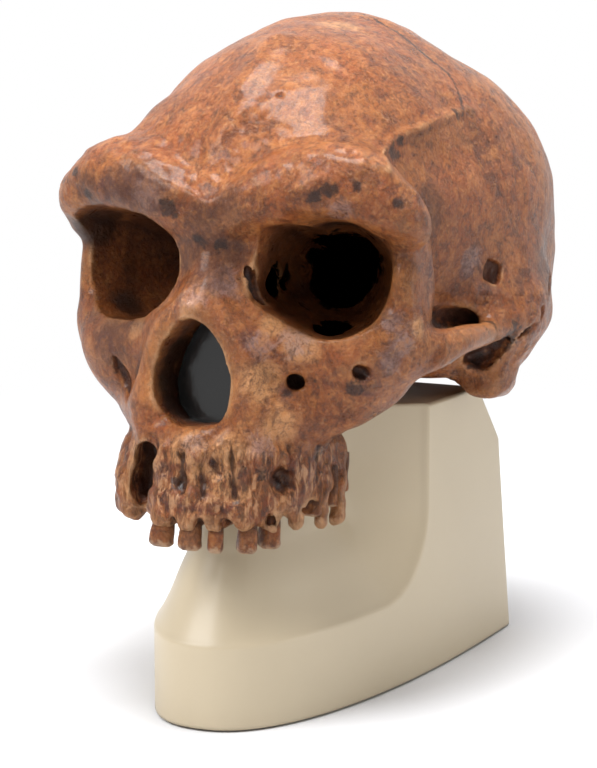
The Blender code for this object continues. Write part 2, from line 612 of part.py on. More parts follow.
# %% The cranium's pieces
def tooth(name, grow=0):
    """A worn, peg-like tooth with its root, in world space; a socket is the same, grown."""
    across, along, up, half_width, half_depth, height, lean = TOOTH_SHARES[name]
    root = ROOT_SHARE * CRANIAL_HALF_WIDTH + grow
    tip = height * CRANIAL_HALF_WIDTH + grow
    radius = half_width * CRANIAL_HALF_WIDTH + grow
    profile = [(0, root), (ROOT_TIP_SHARE * radius, root), (NECK_SHARE * radius, 0)]
    profile += [(wide * radius, -deep * tip) for wide, deep in CROWN_PROFILE_SHARES]
    mesh = turned(profile, 8)
    depth = (half_depth * CRANIAL_HALF_WIDTH + grow) / radius
    outward = math.atan2(across * CRANIAL_HALF_WIDTH, (ROW_CENTRE_SHARE - along) * CRANIAL_LENGTH)
    turn = Matrix.Rotation(outward, 4, "Z") @ Matrix.Rotation(math.radians(-lean), 4, "X")
    place = POSE @ Matrix.Translation(at(across, along, up))
    mesh.transform(place @ turn @ Matrix.Diagonal((1, depth, 1, 1)))
    return mesh


def seam_box(axis, low, high):
    """A large box in the cranium's frame between two places along one axis."""
    reach = 2 * CRANIAL_LENGTH
    corner_low = [-reach, -reach, -reach]
    corner_high = [reach, reach, reach]
    corner_low[axis] = low
    corner_high[axis] = high
    return in_world(box(corner_low, corner_high))


def arch_box(side, grow):
    """The box that holds one cheek arch; it is grown where it makes room for the arch."""
    inner = ARCH_INNER_SHARE * CRANIAL_HALF_WIDTH - grow
    outer = 2 * CRANIAL_HALF_WIDTH
    front = FACE_SEAM_SHARE * CRANIAL_LENGTH + GAP / 2
    rear = ARCH_REAR_SHARE * CRANIAL_LENGTH + grow
    bottom, top = [share * CRANIAL_HEIGHT for share in ARCH_LEVEL_SHARES]
    across = sorted((side * inner, side * outer))
    return in_world(box((across[0], front - grow, bottom - grow), (across[1], rear, top + grow)))


def below(level):
    """A large box below a level, in the world."""
    reach = 2 * CRANIAL_LENGTH
    return box((-reach, -reach, level - reach), (reach, reach, level))


def in_world(mesh):
    mesh.transform(POSE)
    return mesh


def build_cranium():
    lift = bpy.data.objects.new("cranium_lift", None)
    lift.location = (0, POST_Y, SEAT_LEVEL)
    PARTS.objects.link(lift)
    bpy.context.view_layer.update()

    skin = add("skin", in_world(cranium_skin()))
    thin = skin.modifiers.new("thin", "DECIMATE")
    thin.ratio = SKIN_TRIANGLES / (2 * len(skin.data.polygons))
    skin_mesh = baked(skin)

    cavity_mesh = in_world(merged("cavity", rounded_masses(BRAINCASE_SHARES[:CAVITY_PIECES], WALL, 24),
                                  2 * CAST_GRAIN, 4))
    cavity = add("cavity", cavity_mesh)
    thin = cavity.modifiers.new("thin", "DECIMATE")
    thin.ratio = HOLLOW_TRIANGLES / (2 * len(cavity_mesh.polygons))
    cavity = add("cavity", baked(cavity))
    cut(cavity, add("seat_floor", below(SEAT_LEVEL + WALL)))

    whole = add("whole", skin_mesh)
    cut(whole, cavity)
    cut(whole, add("stand_room", stand_solid(-2 * GAP, -OVERRUN, -(SEAT_LEVEL - STAND_TOP))))
    cut(whole, add("pad_room", cylinder(
        PAD_RADIUS + GAP, SEAT_LEVEL - 2 * OVERRUN, SEAT_LEVEL, (0, POST_Y), 32)))
    cut(whole, add("foramen", cylinder(
        FORAMEN_RADIUS, SEAT_LEVEL - 2 * OVERRUN, SEAT_LEVEL + 2 * OVERRUN, (0, POST_Y))))
    back = NASAL_BACK_SHARE * CRANIAL_LENGTH
    front = NASAL_FRONT_SHARE * CRANIAL_LENGTH
    cut(whole, add("nasal_pocket", in_world(nasal_prism(front, back))))
    whole_mesh = baked(whole)

    face_seam = FACE_SEAM_SHARE * CRANIAL_LENGTH
    vault_seam = VAULT_SEAM_SHARE * CRANIAL_HEIGHT
    far = 2 * CRANIAL_LENGTH
    half = GAP / 2
    cuts = {
        "face_shell": [(1, face_seam - half, far)],
        "vault_shell": [(1, -far, face_seam + half), (2, -far, vault_seam + half)],
        "base_shell": [(1, -far, face_seam + half), (2, vault_seam - half, far)],
    }
    shells = {}
    for name, sides in cuts.items():
        shell = add_part(name, whole_mesh.copy(), "painted_bone", lift)
        for number, (axis, low, high) in enumerate(sides):
            cut(shell, add("%s_side_%d" % (name, number), seam_box(axis, low, high)))
        shells[name] = shell
    for name, side in (("cheek_arch_left", 1), ("cheek_arch_right", -1)):
        arch = add_part(name, whole_mesh.copy(), "painted_bone", lift)
        cut(arch, add(name + "_box", arch_box(side, 0)), "INTERSECT")
        for shell in (shells["base_shell"], shells["vault_shell"]):
            cut(shell, add("%s_room_%s" % (shell.name, name), arch_box(side, GAP)))
    bpy.data.meshes.remove(whole_mesh)

    for name in TOOTH_SHARES:
        add_part(name, tooth(name), "painted_tooth", lift)
        cut(shells["face_shell"], add(name + "_socket", tooth(name, GAP)))

    panel_front = NASAL_RIM_SHARE * CRANIAL_LENGTH + LINER_DEPTH
    panel = in_world(nasal_prism(panel_front, panel_front + LINER_THICKNESS, GAP))
    add_part("nasal_liner", panel, "dark_panel", lift)
    return shells


def build_socket(shells):
    """The sleeve in the base of the cranium that slides over the post."""
    floor = SEAT_LEVEL + WALL
    low = SEAT_LEVEL
    flange_top = floor + GAP + SOCKET_FLANGE_THICKNESS
    outer = POST_RADIUS + GAP + SOCKET_WALL
    sleeve = add_part("post_socket", cylinder(outer, low, low + SOCKET_LENGTH, (0, POST_Y)), "steel")
    cut(sleeve, add("socket_flange", cylinder(
        SOCKET_FLANGE_RADIUS, floor + GAP, flange_top, (0, POST_Y), 32)), "UNION")
    cut(sleeve, add("socket_bore", cylinder(
        POST_RADIUS + GAP, low - OVERRUN, low + SOCKET_LENGTH + OVERRUN, (0, POST_Y))))
    cut(shells["base_shell"], add("flange_seat", cylinder(
        SOCKET_FLANGE_RADIUS + GAP, floor, floor + SOCKET_LENGTH, (0, POST_Y), 32)))


build_stand()
build_stand_fittings()
build_post()
build_socket(build_cranium())
for piece in PARTS.objects:
    if piece.type == "MESH":
        piece.data.shade_smooth()
        piece.data.set_sharp_from_angle(angle=math.radians(40))
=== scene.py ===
# %% [markdown]
# # A painted cast of a fossil skull on its stand
#
# The real object is a teaching model: a hollow resin cast of an early human cranium, painted and
# lacquered brown, that lifts off a cream moulded stand. This lesson dresses the plain solids of the
# CAD model with fine surfaces and painted materials. Everything is in metres, +Z up, the face looks
# along -Y and +X is the skull's own left side.

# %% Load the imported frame
import math

import bmesh
import bpy
import numpy as np
from mathutils import Matrix, Vector


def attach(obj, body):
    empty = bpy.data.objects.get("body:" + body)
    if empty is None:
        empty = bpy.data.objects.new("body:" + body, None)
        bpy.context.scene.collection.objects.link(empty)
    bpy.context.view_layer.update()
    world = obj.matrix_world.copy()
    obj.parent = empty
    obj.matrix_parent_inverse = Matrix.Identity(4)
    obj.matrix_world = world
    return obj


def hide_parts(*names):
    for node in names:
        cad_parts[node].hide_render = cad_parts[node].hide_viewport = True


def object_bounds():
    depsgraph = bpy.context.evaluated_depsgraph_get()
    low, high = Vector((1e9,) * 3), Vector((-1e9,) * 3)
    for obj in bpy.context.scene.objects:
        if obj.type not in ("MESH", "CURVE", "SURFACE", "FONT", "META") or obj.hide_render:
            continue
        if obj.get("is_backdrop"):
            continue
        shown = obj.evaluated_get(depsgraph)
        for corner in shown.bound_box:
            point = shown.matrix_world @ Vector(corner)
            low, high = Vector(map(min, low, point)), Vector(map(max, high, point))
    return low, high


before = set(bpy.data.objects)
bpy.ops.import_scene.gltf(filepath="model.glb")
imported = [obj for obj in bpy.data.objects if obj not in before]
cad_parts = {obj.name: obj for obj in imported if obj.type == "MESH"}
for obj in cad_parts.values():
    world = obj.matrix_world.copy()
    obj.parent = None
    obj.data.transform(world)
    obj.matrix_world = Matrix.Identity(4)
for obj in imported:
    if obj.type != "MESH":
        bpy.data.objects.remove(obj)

cad_low, cad_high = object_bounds()
print("CAD box, mm:", [round(1000 * (high - low), 1) for low, high in zip(cad_low, cad_high)])

# %% [markdown]
# ## The camera
#
# The photograph was taken from the skull's left front, a little above it, with a long lens. The
# camera comes first, so that every later piece can be judged through it. Its distance and turn were
# found by fitting the outline of the cranium, and its lens by the size of the frame.

# %% Camera
MM = 0.001
AZIMUTH, ELEVATION = math.radians(25.8), math.radians(9.4)
CAMERA_AIM = Vector((0, 42.6, 110)) * MM
CAMERA_OFFSET = (-28.3 * MM, -15.8 * MM, 921 * MM)     # to the right, up and back from the aim
LENS_MM = 115.9

back = Vector((math.sin(AZIMUTH) * math.cos(ELEVATION), -math.cos(AZIMUTH) * math.cos(ELEVATION),
               math.sin(ELEVATION)))
right = Vector((math.cos(AZIMUTH), math.sin(AZIMUTH), 0))
up = back.cross(right)
camera = bpy.data.objects.new("camera", bpy.data.cameras.new("camera"))
camera.data.lens = LENS_MM
camera.data.clip_start = 0.05
camera.location = CAMERA_AIM + right * CAMERA_OFFSET[0] + up * CAMERA_OFFSET[1] + back * CAMERA_OFFSET[2]
camera.rotation_euler = Matrix((right, up, back)).transposed().to_euler()
bpy.context.scene.collection.objects.link(camera)
bpy.context.scene.camera = camera
bpy.context.scene.view_settings.view_transform = "Standard"

# %% [markdown]
# ## Small helpers
#
# Colours are written as the hex codes that a painter would pick on a screen, and one function turns
# them to the linear values that shaders use. One function feeds the inputs of a shader node with values
# or links, and one adds any node with its settings. One function puts numpy arrays of points and faces
# into a mesh.

# %% Helpers for colour, nodes and meshes
WHITE = (1, 1, 1, 1)
WELD_MM = 0.02


def linear(code):
    """Turn an sRGB hex code into a linear colour with alpha: the usual two-part sRGB curve."""
    channels = [int(code[i:i + 2], 16) / 255 for i in (1, 3, 5)]
    return (*[c / 12.92 if c <= 0.04045 else ((c + 0.055) / 1.055) ** 2.4 for c in channels], 1)


def feed(tree, node, inputs):
    """Fill a node's inputs: each with a plain value, or with a link given as (other node, output)."""
    for socket, value in inputs.items():
        if isinstance(value, tuple) and isinstance(value[0], bpy.types.Node):
            tree.links.new(value[0].outputs[value[1]], node.inputs[socket])
        else:
            node.inputs[socket].default_value = value


def add_node(tree, kind, inputs=None, **settings):
    """Add a node of any kind with its settings, and feed its inputs."""
    made = tree.nodes.new(kind)
    for name, value in settings.items():
        setattr(made, name, value)
    feed(tree, made, inputs or {})
    return made


def new_material(name):
    """A material whose tree holds its output and one Principled shader, and nothing else."""
    material = bpy.data.materials.new(name)
    material.use_nodes = True
    tree = material.node_tree
    return material, tree, tree.nodes["Principled BSDF"]


def mesh_piece(name, points, faces, smooth=True):
    """Put an array of points (in metres) and an array of equal faces into a new object."""
    mesh = bpy.data.meshes.new(name)
    faces = np.asarray(faces)
    mesh.vertices.add(len(points))
    mesh.vertices.foreach_set("co", np.asarray(points, np.float32).ravel())
    mesh.loops.add(faces.size)
    mesh.loops.foreach_set("vertex_index", faces.astype(np.int32).ravel())
    mesh.polygons.add(len(faces))
    mesh.polygons.foreach_set("loop_start", np.arange(0, faces.size, faces.shape[1], dtype=np.int32))
    mesh.polygons.foreach_set("use_smooth", np.full(len(faces), smooth))
    mesh.update(calc_edges=True)
    piece = bpy.data.objects.new(name, mesh)
    bpy.context.scene.collection.objects.link(piece)
    return piece


def grid_faces(rows, columns):
    """Quads of a grid of points whose columns run round and meet."""
    r, c = np.meshgrid(np.arange(rows - 1), np.arange(columns), indexing="ij")
    along = (c + 1) % columns
    return np.stack([r * columns + c, r * columns + along, (r + 1) * columns + along,
                     (r + 1) * columns + c], -1).reshape(-1, 4)


def weld(piece):
    """Merge points that lie on each other, drop what that flattens, and face everything outwards."""
    shape = bmesh.new()
    shape.from_mesh(piece.data)
    bmesh.ops.remove_doubles(shape, verts=shape.verts, dist=WELD_MM * MM)
    bmesh.ops.recalc_face_normals(shape, faces=shape.faces)
    shape.to_mesh(piece.data)
    shape.free()


def attribute(piece, name, values):
    """Store one number for each point of a piece, for its material to read."""
    layer = piece.data.attributes.new(name, "FLOAT", "POINT")
    layer.data.foreach_set("value", np.asarray(values, np.float32))


def ease(share):
    """A smooth step: 3 s^2 - 2 s^3 of a share that is held between 0 and 1."""
    share = np.clip(share, 0, 1)
    return share * share * (3 - 2 * share)


# %% [markdown]
# ## The floor and the light
#
# The studio is a white sweep under soft lamps: the key high on the left, a small weak fill far to the
# right, and a strong one overhead, which draws the wet highlights on the vault. The floor keeps a soft
# shadow near the stand and glows into plain white further out, so that no horizon shows. The world is
# dim and warm as a light, and white where the camera or a glossy surface looks into it.

# %% Floor, lamps and world
FLOOR_REACH = 3.0                       # metres
FLOOR_NEAR_MM, FLOOR_FAR_MM = 340, 620  # where the glow sets in, and where it is full
FLOOR_PAINT = "#D4D5D8"                 # matt background paper
WORLD_TINT, WORLD_STRENGTH = (1.0, 0.975, 0.94, 1), 0.5
LAMP_AIM = Vector((0, 0.01, 0.12))
# Lamps: place and size in metres, power in watts.
LAMPS = {
    "key": (camera.location - right * 0.6 + up * 0.6 - back * 0.35, 0.5, 8.0),
    "fill": (camera.location + right * 0.95 - back * 0.7, 0.3, 0.9),
    "top": (Vector((0.06, -0.06, 1.05)), 0.55, 19),
}


def build_floor():
    """A square sweep whose matt paper turns into a white glow with distance from the stand."""
    corners = np.array([(-1, -1, 0), (1, -1, 0), (1, 1, 0), (-1, 1, 0)], float) * FLOOR_REACH
    floor = mesh_piece("floor", corners, [(0, 1, 2, 3)], smooth=False)
    material, tree, shader = new_material("white_sweep")
    feed(tree, shader, {"Base Color": linear(FLOOR_PAINT), "Roughness": 0.9, "Specular IOR Level": 0.1})
    place = add_node(tree, "ShaderNodeTexCoord")
    distance = add_node(tree, "ShaderNodeVectorMath", {0: (place, "Object")}, operation="LENGTH")
    far = add_node(tree, "ShaderNodeMapRange", {
        "Value": (distance, "Value"), "From Min": FLOOR_NEAR_MM * MM, "From Max": FLOOR_FAR_MM * MM},
        interpolation_type="SMOOTHSTEP")
    glow = add_node(tree, "ShaderNodeEmission", {"Color": WHITE, "Strength": 1.0})
    mix = add_node(tree, "ShaderNodeMixShader",
                   {0: (far, "Result"), 1: (shader, "BSDF"), 2: (glow, "Emission")})
    feed(tree, tree.nodes["Material Output"], {"Surface": (mix, "Shader")})
    floor.data.materials.append(material)
    floor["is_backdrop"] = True


def build_lamp(name, place, size, power):
    """A square soft lamp that looks at the middle of the model."""
    lamp = bpy.data.objects.new(name, bpy.data.lights.new(name, "AREA"))
    lamp.data.shape = "SQUARE"
    lamp.data.size = size
    lamp.data.energy = power
    lamp.location = place
    lamp.rotation_euler = (LAMP_AIM - place).to_track_quat("-Z", "Y").to_euler()
    bpy.context.scene.collection.objects.link(lamp)


def build_world():
    """A tinted light all round, which rays from the camera and off glossy surfaces see as white."""
    world = bpy.data.worlds.new("studio")
    bpy.context.scene.world = world
    world.use_nodes = True
    tree = world.node_tree
    ray = add_node(tree, "ShaderNodeLightPath")
    soft = tree.nodes["Background"]
    feed(tree, soft, {"Color": WORLD_TINT, "Strength": WORLD_STRENGTH})
    white = add_node(tree, "ShaderNodeBackground", {"Color": WHITE, "Strength": 1.0})
    seen = (ray, "Is Camera Ray")
    for kind_of_ray in ("Is Glossy Ray", "Is Transmission Ray"):
        seen = (add_node(tree, "ShaderNodeMath", {0: seen, 1: (ray, kind_of_ray)}, operation="ADD"), 0)
    mix = add_node(tree, "ShaderNodeMixShader", {0: seen, 1: (soft, "Background"), 2: (white, "Background")})
    feed(tree, tree.nodes["World Output"], {"Surface": (mix, "Shader")})


build_floor()
build_world()
for lamp_name, lamp in LAMPS.items():
    build_lamp(lamp_name, *lamp)
print("lamps:", ", ".join(LAMPS))

# %% [markdown]
# ## The stand
#
# The stand is one moulding. Its plan is a rounded point, its sides are scooped in from a low band up
# to a narrow tongue that stands between the tooth rows, and behind an upright crease it is full
# width again. It is worked out as a surface of two parameters: a share of its height and a place
# round its outline. The same rule as in the CAD model gives both, only with many more steps.

# %% Sizes of the stand, in millimetres
STAND_LENGTH, STAND_HALF_WIDTH, STAND_TOP, STAND_TIP_Y = 170.7, 45.2, 97.5, -100.7
STAND_WALL, STAND_ROUNDING, PLATE_ROOM, PLATE_GAP, FOOT_PROUD = 4.0, 1.4, 3.3, 0.2, 0.8
CORE_HALF_WIDTH, CORE_SETBACK, CORE_DROP, CORE_FLARE, CREASE_BACK = 15.5, 21.5, 10.5, 9.0, 95.3
TOE_REACH, BAND_HEIGHT, SCOOP_RADIUS = 8.0, 28.0, 30.0
FULL_WIDEST, CORE_WIDEST, REAR_CORNER = 0.93 * STAND_LENGTH, 0.36 * STAND_LENGTH, 0.01 * STAND_LENGTH

# %% Shares and powers of the stand's curves, and how many steps each part of the surface has
SCOOP_POWER, SCOOP_CLIMB, CREASE_EDGE, FOOTPRINT_POWER = 1.5, 0.03, 0.07, 2.35
REAR_KNEE, REAR_LEAN, REAR_CHAMFER = 0.77, 0.082, 0.1225
LEVEL_STEPS, INNER_STEPS, ROUNDING_STEPS, TOP_STEPS = 110, 24, 8, 10
FRONT_STEPS, BEHIND_STEPS, CORNER_STEPS, REAR_STEPS = 100, 22, 6, 10


def half_width_of(along, half_width, widest):
    """Half width of a rounded plan: w (1 - a^p)^(1/p), a the share of the way ahead of the widest place."""
    ahead = np.maximum(0, (widest - along) / widest)
    return half_width * np.maximum(0, 1 - ahead ** FOOTPRINT_POWER) ** (1 / FOOTPRINT_POWER)


def scoop_of(along, level):
    """How far the side is drawn in: 1 - d^p, with d the distance from the scoop's centre line in radii.

    Near d = 1 the sweep starts at a crisp crease, of which the mould rounds only a fine edge.
    """
    behind = np.maximum(along - (CREASE_BACK - SCOOP_RADIUS), 0)
    below = np.maximum(BAND_HEIGHT + SCOOP_RADIUS + SCOOP_CLIMB * along - level, 0)
    reach = np.minimum(np.hypot(behind, below) / SCOOP_RADIUS, 1)
    return (1 - reach ** SCOOP_POWER) * ease((1 - reach) / CREASE_EDGE)


def rear_of(share):
    """Rear face: it leans forward up to a knee at 0.77 of the height and is chamfered off above."""
    lean = REAR_LEAN * np.minimum(share / REAR_KNEE, 1)
    return STAND_LENGTH * (1 - lean - REAR_CHAMFER * np.maximum(share - REAR_KNEE, 0) / (1 - REAR_KNEE))


def core_foot(level):
    """Eased step of the tongue: 0 above 0.85 of the stand's height, 1 below 0.45 of it."""
    return ease((0.85 - level / STAND_TOP) / 0.4)


def core_half_width(level):
    """Half width of the tongue, which flares towards its foot."""
    return CORE_HALF_WIDTH + CORE_FLARE * core_foot(level)


def core_setback(level):
    """Place of the tongue's tip behind the stand's: its foot reaches forward."""
    return CORE_SETBACK - TOE_REACH * core_foot(level)


def level_at(share, along):
    """Height of a share of the stand; the upper part is lower on the tongue under the palate."""
    top = STAND_TOP - CORE_DROP * (1 - ease((along / STAND_LENGTH - 0.25) / 0.15))
    return share * STAND_TOP - np.maximum(share - 0.6, 0) / 0.4 * (STAND_TOP - top)


def stand_ring(share, inset):
    """One outline of the stand at a share of its height, drawn in by an inset: left half, then mirror."""
    rear, corner = rear_of(share) - inset, REAR_CORNER
    core_tip = core_setback(share * STAND_TOP) + inset
    front = 0.5 - 0.5 * np.cos(np.pi * np.linspace(0, 1, FRONT_STEPS) ** 1.2)
    behind = CREASE_BACK + (rear - corner - CREASE_BACK) * np.linspace(0, 1, BEHIND_STEPS)[1:]
    full_along = np.concatenate([inset + (CREASE_BACK - inset) * front, behind])
    core_along = np.concatenate([core_tip + (CREASE_BACK - core_tip) * front, behind])
    full = half_width_of(full_along - inset, STAND_HALF_WIDTH - inset, FULL_WIDEST)
    level = level_at(share, full_along)
    core = half_width_of(core_along - core_tip, core_half_width(level) - inset, CORE_WIDEST)
    inward = scoop_of(full_along, level)
    x = full + (core - full) * inward
    y = full_along + (core_along - full_along) * inward
    swing = np.linspace(0, math.pi / 2, CORNER_STEPS)[1:]
    side = x[-1]
    x = np.concatenate([x, side - corner + corner * np.cos(swing)])
    y = np.concatenate([y, rear - corner + corner * np.sin(swing)])
    x = np.concatenate([x, np.linspace(x[-1], 0, REAR_STEPS)[1:-1]])
    y = np.concatenate([y, np.full(REAR_STEPS - 2, rear)])
    level = np.concatenate([level, level_at(share, y[len(level):])])
    left = np.stack([x, STAND_TIP_Y + y, level], -1)
    mirror = left[:0:-1] * (-1, 1, 1)
    return np.concatenate([left, mirror])


def stand_wall(bottom, top_inset, inset, steps):
    """Outlines of one wall from its bottom up, over the rounded edge, and in to the middle line."""
    high = (STAND_TOP - top_inset - STAND_ROUNDING) / STAND_TOP
    rings = [stand_ring(share, inset) for share in np.linspace(bottom / STAND_TOP, high, steps)]
    for swing in np.linspace(0, math.pi / 2, ROUNDING_STEPS)[1:]:
        share = high + STAND_ROUNDING / STAND_TOP * math.sin(swing)
        rings.append(stand_ring(share, inset + STAND_ROUNDING * (1 - math.cos(swing))))
    return rings + [rings[-1] * (width, 1, 1) for width in np.linspace(1, 0, TOP_STEPS)[1:]]


def build_stand():
    """Outer wall from the top down, the ledge for the base plate, then the inner wall up again."""
    ledge = STAND_WALL / 2 + PLATE_GAP
    foot, plate = FOOT_PROUD / STAND_TOP, (FOOT_PROUD + PLATE_ROOM) / STAND_TOP
    rings = stand_wall(FOOT_PROUD, 0, 0, LEVEL_STEPS)[::-1]
    rings += [stand_ring(foot, ledge), stand_ring(plate, ledge)]
    rings += stand_wall(FOOT_PROUD + PLATE_ROOM, STAND_WALL, STAND_WALL, INNER_STEPS)
    points = np.array(rings)
    piece = mesh_piece("stand_moulding", points.reshape(-1, 3) * MM, grid_faces(*points.shape[:2]))
    weld(piece)
    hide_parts("stand_shell")
    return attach(piece, "stand")


stand = build_stand()
print("stand:", len(stand.data.polygons), "faces, mm", [round(v * 1000, 1) for v in stand.dimensions])

# %% [markdown]
# ## The cranium as a field of distances
#
# A skull has holes, hollows and bars that run into each other, so no single grid of two parameters
# can cover it. It is made the way a sculptor builds up clay: rounded masses and bars are blended
# together, and hollows are pressed in. Each one gives a distance to its surface at every point of a
# fine lattice, and a smooth minimum joins them. The surface is where the sum is zero. All places
# are in millimetres in the skull's own frame, with its origin midway between the ears.

# %% Lattice and blending
VOXEL, FAR = 0.96, 60           # lattice step, and the distance that empty space starts with
LATTICE_LOW = np.array((-79.0, -121.0, -75.0))
LATTICE_HIGH = np.array((79.0, 106.0, 114.0))
TILT = math.radians(-5.9)       # how the cranium nods on its stand
EAR_PLACE = (0, 11.0, 123.0)    # the skull frame's origin in the world
axes = [np.arange(low, high, VOXEL, dtype=np.float32) for low, high in zip(LATTICE_LOW, LATTICE_HIGH)]
field = np.full([len(axis) for axis in axes], FAR, np.float32)


def window(low, high):
    """The part of the lattice that covers a box: its slices and its open coordinates."""
    spans = []
    for axis in range(3):
        start = max(int((low[axis] - LATTICE_LOW[axis]) / VOXEL), 0)
        stop = min(int((high[axis] - LATTICE_LOW[axis]) / VOXEL) + 2, len(axes[axis]))
        spans.append(slice(start, max(stop, start + 1)))
    x, y, z = [axes[axis][span] for axis, span in enumerate(spans)]
    return tuple(spans), (x[:, None, None], y[None, :, None], z[None, None, :])


def blend_in(spans, distance, blend, cut):
    """Smooth union b + (a - b) h - k h (1 - h), h = 1/2 + (b - a) / 2k held to 0..1.

    A is the field and b the new distance. A cut swaps the field's sign before and after.
    """
    old = -field[spans] if cut else field[spans]
    h = np.clip(0.5 + 0.5 * (distance - old) / blend, 0, 1)
    new = distance + (old - distance) * h - blend * h * (1 - h)
    field[spans] = -new if cut else new


def turn_of(tilt):
    """Rotation matrix of tilts about X, then Y, then Z, in degrees."""
    (cx, sx), (cy, sy), (cz, sz) = [(math.cos(a), math.sin(a)) for a in np.radians(tilt)]
    about_x = np.array([(1, 0, 0), (0, cx, -sx), (0, sx, cx)])
    about_y = np.array([(cy, 0, sy), (0, 1, 0), (-sy, 0, cy)])
    about_z = np.array([(cz, -sz, 0), (sz, cz, 0), (0, 0, 1)])
    return about_z @ about_y @ about_x


def press(centre, radii, blend=8, tilt=(0, 0, 0), sides=(1,), cut=False, power=2):
    """Blend in a rounded mass: (k - 1) over the slope of k, with k the power norm of p / r.

    A power of 2 is an ellipsoid, and a higher one is boxier.
    """
    turn = turn_of(tilt)
    reach = np.sqrt(((turn * radii) ** 2).sum(1)) + blend + 3
    for side in sides:
        middle = np.array(centre, float) * (side, 1, 1)
        spans, (x, y, z) = window(middle - reach, middle + reach)
        offset = [side * (x - middle[0]), y - middle[1], z - middle[2]]
        local = [sum(turn[row][axis] * offset[row] for row in range(3)) / radii[axis] for axis in range(3)]
        local = [np.abs(v) + 1e-4 for v in local]
        norm = sum(v ** power for v in local) ** (1 / power)
        rise = np.sqrt(sum((v ** (power - 1) / r) ** 2 for v, r in zip(local, radii))) / norm ** (power - 1)
        blend_in(spans, ((norm - 1) / rise).astype(np.float32), blend, cut)


def smooth_path(points, steps=4):
    """Catmull-Rom curve through a list of points, whose last number is a radius."""
    p = np.array(points, float)
    before = np.concatenate([p[:1], p[:-2]]) if len(p) > 2 else p[:1]
    after = np.concatenate([p[2:], p[-1:]]) if len(p) > 2 else p[-1:]
    a, b = p[:-1], p[1:]
    t = (np.arange(steps) / steps)[None, :, None]
    before, after, a, b = [v[:, None] for v in (before, after, a, b)]
    curve = 0.5 * (2 * a + (b - before) * t + (2 * before - 5 * a + 4 * b - after) * t ** 2
                   + (3 * a - before - 3 * b + after) * t ** 3)
    return np.concatenate([curve.reshape(-1, p.shape[1]), p[-1:]])


def roll(points, blend=6, sides=(1,), cut=False):
    """Blend in a bar: distance to a curve, less a radius that runs along it."""
    path = smooth_path(points)
    reach = path[:, 3].max() + blend + 3
    for side in sides:
        line = path * (side, 1, 1, 1)
        spans, (x, y, z) = window(line[:, :3].min(0) - reach, line[:, :3].max(0) + reach)
        distance = None
        for (ax, ay, az, ar), (bx, by, bz, br) in zip(line, line[1:]):
            length = (bx - ax) ** 2 + (by - ay) ** 2 + (bz - az) ** 2
            t = np.clip(((x - ax) * (bx - ax) + (y - ay) * (by - ay) + (z - az) * (bz - az)) / length, 0, 1)
            gap = np.sqrt((x - ax - t * (bx - ax)) ** 2 + (y - ay - t * (by - ay)) ** 2
                          + (z - az - t * (bz - az)) ** 2) - ar - t * (br - ar)
            distance = gap if distance is None else np.minimum(distance, gap)
        blend_in(spans, distance.astype(np.float32), blend, cut)


def swell(centre, reach, amount, sides=(1,)):
    """Push the surface out (or in, below zero) by a few mm: amount times exp(-|p / reach|^2)."""
    for side in sides:
        middle = np.array(centre, float) * (side, 1, 1)
        spans, (x, y, z) = window(middle - np.multiply(reach, 2.4), middle + np.multiply(reach, 2.4))
        fall = ((x - middle[0]) / reach[0]) ** 2 + ((y - middle[1]) / reach[1]) ** 2
        field[spans] -= (amount * np.exp(-fall - ((z - middle[2]) / reach[2]) ** 2)).astype(np.float32)


BOTH = (1, -1)
LEFT, RIGHT = (1,), (-1,)

# %% [markdown]
# ### Braincase and face
#
# The masses go on from large to small: the vault, the bar of the brow, the cheek bones and the upper
# jaw. Most come in twins. The right side of the vault is a little fuller than the left, as in the
# fossil.

# %% Masses of the braincase
press((0, 14, 37), (66, 82, 69), 1)
press((0, -36, 42), (56, 56, 58), 14)
press((0, -66, 36), (52, 37, 43), 12)
press((-18, -18, 64), (32, 42, 34), 14)
press((0, 58, 20), (56, 41, 43), 14)
press((40, 18, 4), (31, 40, 24), 14, sides=BOTH)
press((0, -55, 2), (34, 36, 34), 12)
press((86, -58, 4), (32, 32, 50), 6, sides=BOTH, cut=True)

# %% Pushes and pulls on the vault
swell((-6, 0, 108), (24, 30, 22), 4.5)
swell((-28, -40, 95), (18, 16, 14), -2.0)
swell((28, 28, 98), (18, 22, 16), -3.0)
swell((58, 46, 58), (22, 26, 28), 3.0, BOTH)
swell((-38, -76, 66), (12, 14, 10), 2.5)

# %% Masses and bars of the face
press((49, -68, 10), (7, 14, 22), 8, (0, 0, -20), BOTH)
press((0, -18, -14), (20, 26, 12), 8)
press((16, -2, -22), (7, 12, 6), 5, sides=BOTH)
press((0, -84, -10), (30, 26, 38), 10)
press((33, -76, -12), (24, 18, 21.5), 8, (0, 0, -15), BOTH)
press((51, -71, -8), (11, 12, 16), 8, sides=BOTH)
roll([(0, -94.5, 30, 7.5), (0, -96.5, 22, 7.2), (0, -100, 15, 7), (0, -108.5, 5, 6.2)], 6)
roll([(2, -105, 7, 5.5), (10.2, -105.5, -2, 4.8), (15.2, -104, -16, 4.0), (15, -101, -32, 7)], 4, LEFT)
roll([(2, -105, 7, 5.5), (12.4, -105.5, -2, 4.8), (19, -103.5, -16, 4.0), (18, -101, -32, 7)], 4, RIGHT)
roll([(0, -97, 37, 10), (14, -99.5, 40, 11), (28, -99, 45, 11), (42, -95, 46, 11), (53, -89, 42, 10.5),
      (58, -84, 37, 9), (60, -80, 32, 7.5)], 6, BOTH)
press((34, -82, 50), (24, 18, 11), 8, (0, 0, -12), BOTH)
roll([(58, -77, 30, 5), (57.5, -76, 14, 4.6), (57.5, -74, 0, 6), (54, -73, -10, 8)], 4, BOTH)
press((57.5, -66, 12), (4.2, 14, 24), 4, (0, 0, 5), BOTH)
